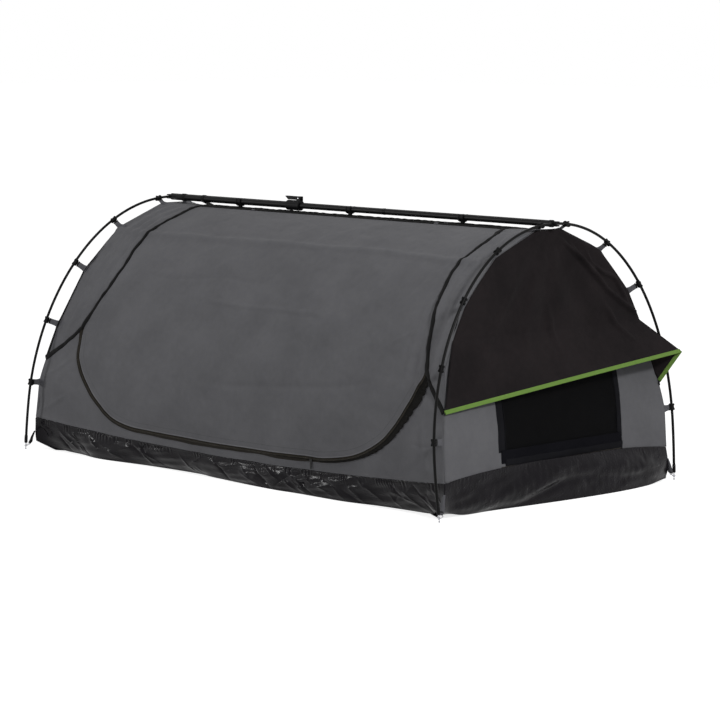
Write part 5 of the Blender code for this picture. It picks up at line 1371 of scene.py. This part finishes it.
piece = ringBand("ridgeTabLoop", np.array((tabX, 0, poleAxis)), axisX, ridge["outerRadius"] + 0.0002, 0.0014, 0.0220, 40)
dress(piece, "webbingBlack", "shelter")
tabShare = (tabX - canvasEndX(body["top"], 0)) / (canvasEndX(body["top"], 1) - canvasEndX(body["top"], 0))
landing = canvasPoint(tabShare, pi / 2)
piece = sweep("ridgeTab", [(tabX, 0, between(landing[2] - 0.0004, under + 0.0006, share)) for share in np.linspace(0, 1, 6)],
              sideY, roundedBar(0.0230, 0.0030, 0.0012), (1.55, 1.2, 1.0, 0.92, 0.92, 0.95))
dress(piece, "webbingGrey", "shelter")
for number, x in enumerate(ridge["greyTabs"]):
    across = np.linspace(-0.0400, 0.0400, 30)
    height = hingeZ + 0.0066 * np.exp(-((np.abs(across) - 0.0300) / 0.0085) ** 2) + 0.0010
    piece = sweep(f"ridgeSideTab{number + 1}", np.stack((x + 0 * across, across, height), -1), (0, 0, 1),
                  roundedBar(0.020, 0.0016, 0.0006))
    dress(piece, "webbingGrey", "shelter")

# the tub's corner straps: webbing folded round each ring and sewn to the corner
strapLook = {"wire": 0.0015, "ringRadius": 0.0105, "thick": 0.0013, "ringWidth": 0.0155, "width": 0.0260, "tip": 0.0075,
             "climb": (0.42, 0.64), "aimClimb": (0.22, 0.45)}
top, _ = tubTop()
low = tubFloor(top)
side, ends = tub["sidePoints"], tub["endPoints"] - 2
cornerAt = {1: 0, 2: 2 * side + ends - 1, 3: side - 1, 4: side + ends}
for number, at in cornerAt.items():
    box = np.array(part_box(f"foot_ring_{number}"))
    centre = box.mean(0)
    away = unit(np.sign(top[at]) * np.array((1, 1, 0)))
    aim = between(low[at], top[at], strapLook["aimClimb"][number > 2]) + away * 0.004
    tip = between(low[at], top[at], strapLook["climb"][number > 2]) + away * 0.006
    way = unit(aim - centre)
    wire = centre + way * strapLook["ringRadius"]
    square = unit(np.cross((0, 0, 1), way))
    lift = np.cross(way, square)
    lift = lift if lift[2] > 0 else -lift
    gap = strapLook["wire"] + strapLook["thick"] * 0.75
    turn = np.radians(np.linspace(90, 270, 11))[:, None]
    arc = wire + (np.cos(turn) * way + np.sin(turn) * lift) * gap
    outer = [tip + away * 0.0006, between(tip, wire + lift * gap, 0.45) + away * 0.0006, wire + lift * gap + way * 0.009]
    inner = [wire - lift * gap + way * 0.009, between(wire - lift * gap, tip, 0.5) - away * 0.0012, tip - away * 0.0016]
    knots = np.concatenate((outer, arc, inner))
    path = spline(knots, np.linspace(0, len(knots) - 1, 60))
    gone = np.linspace(0, len(knots) - 1, 60)
    wide = np.interp(gone, (0, 2, 3, 13, 14, 16), [strapLook[key] for key in ("tip", "width", "ringWidth", "ringWidth", "width", "tip")])
    tape = sweep(f"cornerStrap{number}", path, np.cross(np.gradient(path, axis=0), square),
                 roundedBar(1.0, strapLook["thick"], 0.0006), wide)
    dress(tape, "webbingGrey" if number > 2 else "webbingBlack", "shelter")
    tack = wire + lift * (gap + strapLook["thick"] * 0.6) + way * 0.0072
    bar = sweep(f"cornerTack{number}", tack + np.outer(np.linspace(-0.5, 0.5, 5) * strapLook["width"] * 0.8, square), lift,
                roundedBar(0.0036, 0.0012, 0.0005))
    dress(bar, "webbingBlack", "shelter")

# fittings that keep their own shape: a better finish and softened edges
finishes = {
    "ridgeTube": ("ridge_outer_tube", "ridge_inner_tube"),
    "nylon": ("foot_fork", "head_fork", "ridge_clamp", "clamp_lever"),
    "plated": ["clamp_pin"] + [f"foot_{kind}_{n}" for kind in ("pin", "ring") for n in (1, 2, 3, 4)],
    "sliderPaint": ("near_zip_slider", "far_zip_slider"),
}
softEdge = {"foot_fork": 0.0012, "head_fork": 0.0012, "ridge_clamp": 0.0009, "clamp_lever": 0.0012,
            "near_zip_slider": 0.0006, "far_zip_slider": 0.0006}
for look, nodes in finishes.items():
    for node in nodes:
        for holder in cad[node].material_slots:
            holder.material = looks[look]
for node, size in softEdge.items():
    edge = cad[node].modifiers.new("softEdge", "BEVEL")
    edge.width, edge.segments, edge.limit_method, edge.angle_limit = size, 2, "ANGLE", radians(35)
    edge.harden_normals = False
print("ridge, straps and fittings made")


# seams: bindings, zips and stitch lines
seamLook = {
    "hoodWidth": 0.0185, "hoodThick": 0.0070, "ridgeWidth": 0.0170, "ridgeThick": 0.0080, "lump": 0.17, "stray": 0.0014,
    "branchBow": 0.8,
    "zipSteps": 900, "wallTape": 0.0100, "doorTape": 0.0090,
    "hemIn": 0.0320, "hemStitch": 0.0016, "rimWidth": 0.009, "rimThick": 0.0010, "archWidth": 0.0130, "archThick": 0.0040,
}


def hoodSeam(end, count=110):  # share and angle from the near arch edge over the ridge to the far one
    climb = np.linspace(0, 1, 24, endpoint=False)
    branchShare, branchAngle = doorLine(branchAt[end])
    lowS = between(float(end), branchShare, climb)
    lowA = between(radians(branchEnd), branchAngle, climb) - radians(seamLook["branchBow"]) * np.sin(pi * climb)
    upS, upA = doorLine(np.linspace(branchAt[end], 0 if end == 0 else 40, count))
    over = np.linspace(hingeAngle, pi - hingeAngle, 14)[1:-1]
    overS = np.full(len(over), doorTop[end])
    nearS, nearA = np.concatenate((lowS, upS)), np.concatenate((lowA, upA))
    return (np.concatenate((nearS, overS, nearS[::-1])), np.concatenate((nearA, over, pi - nearA[::-1])))


def lumpy(path, seed, amount):  # widths that vary a little along a sewn tape
    walk = np.concatenate(([0], np.cumsum(np.linalg.norm(np.diff(path, axis=0), axis=1))))
    return 1 + amount * softWaves(walk, 0 * walk, seed, 0.03, 0.16)


def ragged(path):  # the lap of canvas over the tub is drawn up unevenly by its stitches
    walk = np.concatenate(([0], np.cumsum(np.linalg.norm(np.diff(path, axis=0), axis=1))))
    patches = smoothStep(0.5 + softWaves(walk, 0 * walk, 174, 0.08, 0.40))
    return 1 + 0.32 * patches * softWaves(walk, 0 * walk, 173, 0.014, 0.050)


for end, endName in ((0, "foot"), (1, "head")):
    s, a = hoodSeam(end)
    path = clothPoint(s, a, 0.0006)
    normal = canvasNormal(s, a)
    walk = np.concatenate(([0], np.cumsum(np.linalg.norm(np.diff(path, axis=0), axis=1))))
    sway = seamLook["stray"] * softWaves(walk, 0 * walk, 131 + end, 0.05, 0.25)
    path = path + frames(path, normal)[1] * sway[:, None]
    piece = sweep(endName + "HoodBinding", path, normal, domeTape(seamLook["hoodWidth"], seamLook["hoodThick"], 0.0012),
                  lumpy(path, 133 + end, seamLook["lump"]), lumpy(path, 135 + end, seamLook["lump"]))
    dress(piece, "binding", "shelter")
    # rim of the arch: a hem strip, and a black binding low on its edge at the foot end
    a = np.linspace(radians(-3), pi + radians(3), 500)
    s = abs(end - 0.0040) + 0 * a
    rim = sweep(endName + "ArchHem", clothPoint(s, a, 0.0001), canvasNormal(s, a),
                flatTape(seamLook["rimWidth"], seamLook["rimThick"], 0.0010))
    dress(rim, "rimCloth", "shelter")
    if end == 0:
        for side, sideName in ((-1, "Near"), (1, "Far")):
            a = sideAngle(np.linspace(radians(13.5), radians(58), 160), side)
            taper = np.interp(np.linspace(0, 1, 160), (0, 0.35, 1), (1.0, 0.85, 0.40))
            s = 0.0006 + 0 * a
            path = clothPoint(s, a, 0.0008)
            piece = sweep(f"foot{sideName}ArchBinding", path, canvasNormal(s, a),
                          domeTape(seamLook["archWidth"], seamLook["archThick"], 0.0020), lumpy(path, 141, 0.12) * taper, taper)
            dress(piece, "binding", "shelter")

for side, sideName in ((-1, "near"), (1, "far")):
    share = np.linspace(doorTop[0], doorTop[1], 420)
    x = canvasPoint(share, pi / 2)[..., 0]
    y = side * (hingeY - 0.0035) + 0.0006 * softWaves(x, 0 * x, 151 + side, 0.06, 0.25)
    path = np.stack((x, y, hingeZ + 0.0002 + 0 * x), -1)
    piece = sweep(sideName + "RidgeBinding", path, (0, side * 0.15, 1), domeTape(seamLook["ridgeWidth"], seamLook["ridgeThick"]),
                  lumpy(path, 153 + side, 0.08), lumpy(path, 155 + side, 0.10))
    dress(piece, "binding", "shelter")


def beside(at, side, offset, lift):
    # a line at a distance from the door's outline: offset is out towards the wall, or in when below 0
    s, a = doorLine(at)
    high, wide = body["top"] - body["springHeight"], body["halfWidth"]
    perAngle = np.hypot(wide * np.sin(a), high * np.cos(a))
    stepS, stepA = np.gradient(s) * 2.25, np.gradient(a) * perAngle
    length = np.hypot(stepS, stepA)
    s = s + offset * stepA / length / 2.25
    a = sideAngle(a - offset * stepS / length / perAngle, side)
    return clothPoint(s, a, lift), canvasNormal(s, a)


def zipTapeAndShadeWidths(at, seed):  # the sewn tape on the wall side is drawn wider where the bottom of the opening sags, and uneven there: tape, and painted shade under the sagging edge
    sagging = smoothStep((at - 13.5) / 4) * (1 - smoothStep((at - 25.0) / 2.0))
    return 1 + sagging * (0.45 + 0.45 * softWaves(at * 0.1, 0 * at, seed, 0.12, 0.7))


def tapeBeside(name, at, side, offset, width, look, bodyName, thick=0.0012, dome=False, lift=0.0010, widths=1.0):
    path, normal = beside(at, side, offset + 0 * at, lift)
    profile = domeTape(width, thick, 0.0014) if dome else flatTape(width, thick, 0.0014)
    return dress(sweep(name, path, normal, profile, widths), look, bodyName)


for side, sideName in ((-1, "near"), (1, "far")):
    at = np.linspace(branchAt[0], branchAt[1], seamLook["zipSteps"])
    # the dark wall-side tape is widened at the sagging bottom: real tape, and painted shade under the door's edge
    tapeBeside(sideName + "ZipWallTape", at, side, seamLook["wallTape"] / 2, seamLook["wallTape"], "zipTape", "shelter",
               widths=zipTapeAndShadeWidths(at, 157))
    tapeBeside(sideName + "ZipDoorTape", at, side, -seamLook["doorTape"] / 2, seamLook["doorTape"], "zipTape",
               sideName + "_door")
    tapeBeside(sideName + "ZipWallCoil", at, side, 0.0014, 0.0030, "zipCoil", "shelter", 0.0026, True, 0.0016)
    tapeBeside(sideName + "ZipDoorCoil", at, side, -0.0014, 0.0030, "zipCoil", sideName + "_door", 0.0026, True, 0.0016)
    # a turned hem and its line of stitches on the door, and stitches outside the zip
    at = np.linspace(branchAt[0] + 0.5, branchAt[1] - 0.3, 700)
    tapeBeside(sideName + "DoorStitch", at, side, -seamLook["hemIn"], seamLook["hemStitch"], "stitch", sideName + "_door",
               0.0007, True)
    # the hem fold is painted a touch lighter than the door: a painted highlight along its raised edge
    tapeBeside(sideName + "DoorHemFold", at, side, -0.0105, 0.0050, "hemHighlightCloth", sideName + "_door", 0.0022, True, 0.0008)
    tapeBeside(sideName + "WallStitch", at, side, 0.0150, seamLook["hemStitch"], "stitch", "shelter", 0.0007, True)

# black facing behind the open zip at the head side: loose outer edge with a frill
facing = {
    "outer": ((0.960, 23.6), (0.9725, 20.2), (0.9660, 16.3), (0.944, 12.3), (0.918, 7.8), (0.879, 2.6), (0.843, -0.4),
              (0.800, -2.7), (0.750, -4.3), (0.690, -4.9), (0.600, -4.9)),
    "reach": 0.62, "frill": 0.0050, "pitch": 0.040, "steps": 520, "rows": 14, "lift": 0.0014, "thick": 0.0010,
}


def facingGrid(side):
    share = np.linspace(0, 1, facing["steps"])
    outer = np.array(facing["outer"])
    line = spline(outer, share * (len(outer) - 1))
    at = np.interp(line[:, 1], [-5.3, -4.8, -3.0, 0.0, 2.8, 7.8, 12.3, 16.3, 20.2, 23.6],
                   [23.5, 24.6, 25.2, 26.3, 27.0, 28.0, 28.9, 29.7, 30.4, 31.0])
    at = np.minimum.accumulate(np.where(share < 0.85, at, np.interp(share, (0.85, 1), (24.2, 21.0))))
    innerS, innerA = doorLine(at)
    across = np.linspace(0, 1, facing["rows"])[:, None]
    reach = facing["reach"] * (1 - 0.97 * smoothStep((share - 0.72) / 0.28)) * between(0.5, 1, smoothStep(share / 0.1))
    line = between(np.stack((innerS, np.degrees(innerA)), -1), line, reach[:, None])
    s = between(innerS[None], line[None, :, 0], across)
    a = between(innerA[None], np.radians(line[None, :, 1]), across)
    plain = clothPoint(s, sideAngle(a, side))
    walk = np.concatenate(([0], np.cumsum(np.linalg.norm(np.diff(plain[-1], axis=0), axis=1))))
    phase = 2 * pi * walk / facing["pitch"] + 2.2 * softWaves(walk, 0 * walk, 161, 0.06, 0.3)
    calm = smoothStep(share / 0.06) * smoothStep((1 - share) / 0.10)
    wave = facing["frill"] * np.sin(phase) * calm
    height = facing["lift"] + across ** 1.6 * (np.abs(wave) * 0.9 + 0.0012 * calm)
    place = clothPoint(s, sideAngle(a, side), height)
    outward = unit(plain[-1] - plain[0] + 1e-9)
    return place + outward[None] * (across[..., None] ** 2) * (wave * 0.6)[None, :, None]


for side, sideName in ((-1, "near"), (1, "far")):
    grid = facingGrid(side)
    piece = clothSheet(sideName + "ZipFacing", grid, fromMiddle, facing["thick"])
    declareSheet(piece, grid)
    dress(piece, "facing", "shelter")
    # seam of the wall panel at the head corner, and the sewn lap of canvas over the tub's edge
    s = np.linspace(0.930, 0.992, 60)
    a = sideAngle(np.radians(np.linspace(4.0, 5.0, 60)), side)
    piece = sweep(sideName + "CornerStitch", clothPoint(s, a, 0.0002), canvasNormal(s, a), domeTape(0.0020, 0.0007))
    dress(piece, "stitch", "shelter")
    s = np.linspace(0.003, 0.997, 1100)
    a = sideAngle(tubAngle(s) + radians(0.42), side)
    path = clothPoint(s, a, 0.0002)
    piece = sweep(sideName + "TubLap", path, canvasNormal(s, a), flatTape(0.0110, 0.0012, 0.0008), ragged(path))
    dress(piece, "rimCloth", "shelter")

# seam tape on the inside, over the joins of walls and tub and round both end walls
innerTape = {"width": 0.018, "archWidth": 0.0140, "thick": 0.0012, "inset": 0.0036, "archInset": 0.0056}
share = np.linspace(0.001, 0.999, 300)
edge = canvasPoint(share, tubAngle(share)) - np.array((0, 0, 0.002))
profile = flatTape(innerTape["width"], innerTape["thick"])
for side, sideName in ((-1, "near"), (1, "far")):
    path = edge * np.array((1, -side, 1)) + np.array((0, -side * innerTape["inset"], 0))
    dress(sweep(sideName + "InnerTape", path, (0, -side, 0), profile), "facing", "shelter")
for end, endName in ((0, "foot"), (1, "head")):
    way = 1 if end == 0 else -1
    across = np.linspace(-1, 1, 200)
    z = tubEndHeight(across) - 0.002
    path = np.stack((canvasEndX(z, end) + way * innerTape["inset"], across * (abs(edge[-end, 1]) - 0.002), z), -1)
    dress(sweep(endName + "InnerTape", path, (way, 0, 0), profile), "facing", "shelter")
    a = np.linspace(radians(-2), pi + radians(2), 500)
    s = end + 0 * a
    inward = np.array((way, 0, 0)) - canvasNormal(s, a)
    piece = sweep(endName + "ArchTape", canvasPoint(s, a) + inward * innerTape["archInset"], inward,
                  flatTape(innerTape["archWidth"], innerTape["thick"]))
    dress(piece, "facing", "shelter")
print("seams made")


# ---- light, floor and background ----

studio = {"ambient": 0.44, "topPower": 14.0, "topSize": 5.0, "keyPower": 194.0, "keySize": 0.9, "sidePower": 76.0,
          "sideSize": 0.50, "floorHalf": 60.0, "floorTone": "#c8c8c8", "floorGlow": 0.80}


def plainRays(tree):  # 1 for the camera, reflections and clear materials, 0 for the rays that light the object
    path = addNode(tree, "ShaderNodeLightPath")
    both = addNode(tree, "ShaderNodeMath", {"operation": "MAXIMUM"},
                   {0: path.outputs["Is Camera Ray"], 1: path.outputs["Is Glossy Ray"]})
    return addNode(tree, "ShaderNodeMath", {"operation": "MAXIMUM"},
                   {0: both.outputs[0], 1: path.outputs["Is Transmission Ray"]}).outputs[0]


world = bpy.data.worlds.new("studioWorld")
bpy.context.scene.world = world
world.use_nodes = True
tree = world.node_tree
tree.nodes.clear()
seen = addNode(tree, "ShaderNodeBackground", {"Color": (1, 1, 1, 1), "Strength": 1.0})
lit = addNode(tree, "ShaderNodeBackground", {"Color": (1, 1, 1, 1), "Strength": studio["ambient"]})
choice = addNode(tree, "ShaderNodeMixShader", {}, {0: plainRays(tree), 1: lit.outputs[0], 2: seen.outputs[0]})
addNode(tree, "ShaderNodeOutputWorld", {}, {"Surface": choice.outputs[0]})


def softLamp(name, place, aim, size, power):
    data = bpy.data.lights.new(name, "AREA")
    data.shape, data.size, data.energy = "DISK", size, power
    lamp = bpy.data.objects.new(name, data)
    lamp.location = place
    lamp.rotation_euler = (Vector(aim) - Vector(place)).to_track_quat("-Z", "Y").to_euler()
    bpy.context.scene.collection.objects.link(lamp)


softLamp("topLamp", (0.3, -0.4, 4.2), (0, 0, 0.4), studio["topSize"], studio["topPower"])
softLamp("keyLamp", (6.2, -1.4, 3.8), (0.2, 0, 0.5), studio["keySize"], studio["keyPower"])
softLamp("sideLamp", (-3.9, -4.9, 1.35), (0, 0, 0.3), studio["sideSize"], studio["sidePower"])

half = studio["floorHalf"]
floor = meshObject("studioFloor", [(-half, -half, 0), (half, -half, 0), (half, half, 0), (-half, half, 0)],
                   [(0, 1, 2, 3)], smooth=False)
floorLook, tree, shader = newMaterial("matt_white_floor", {"Base Color": linear(studio["floorTone"]), "Roughness": 0.9,
                                      "Specular IOR Level": 0.0})
glow = addNode(tree, "ShaderNodeMath", {"operation": "MULTIPLY", 1: studio["floorGlow"]}, {0: plainRays(tree)})
shader.inputs["Emission Color"].default_value = (1, 1, 1, 1)
tree.links.new(glow.outputs[0], shader.inputs["Emission Strength"])
floor.data.materials.append(floorLook)
bpy.context.scene.view_settings.view_transform = "Standard"
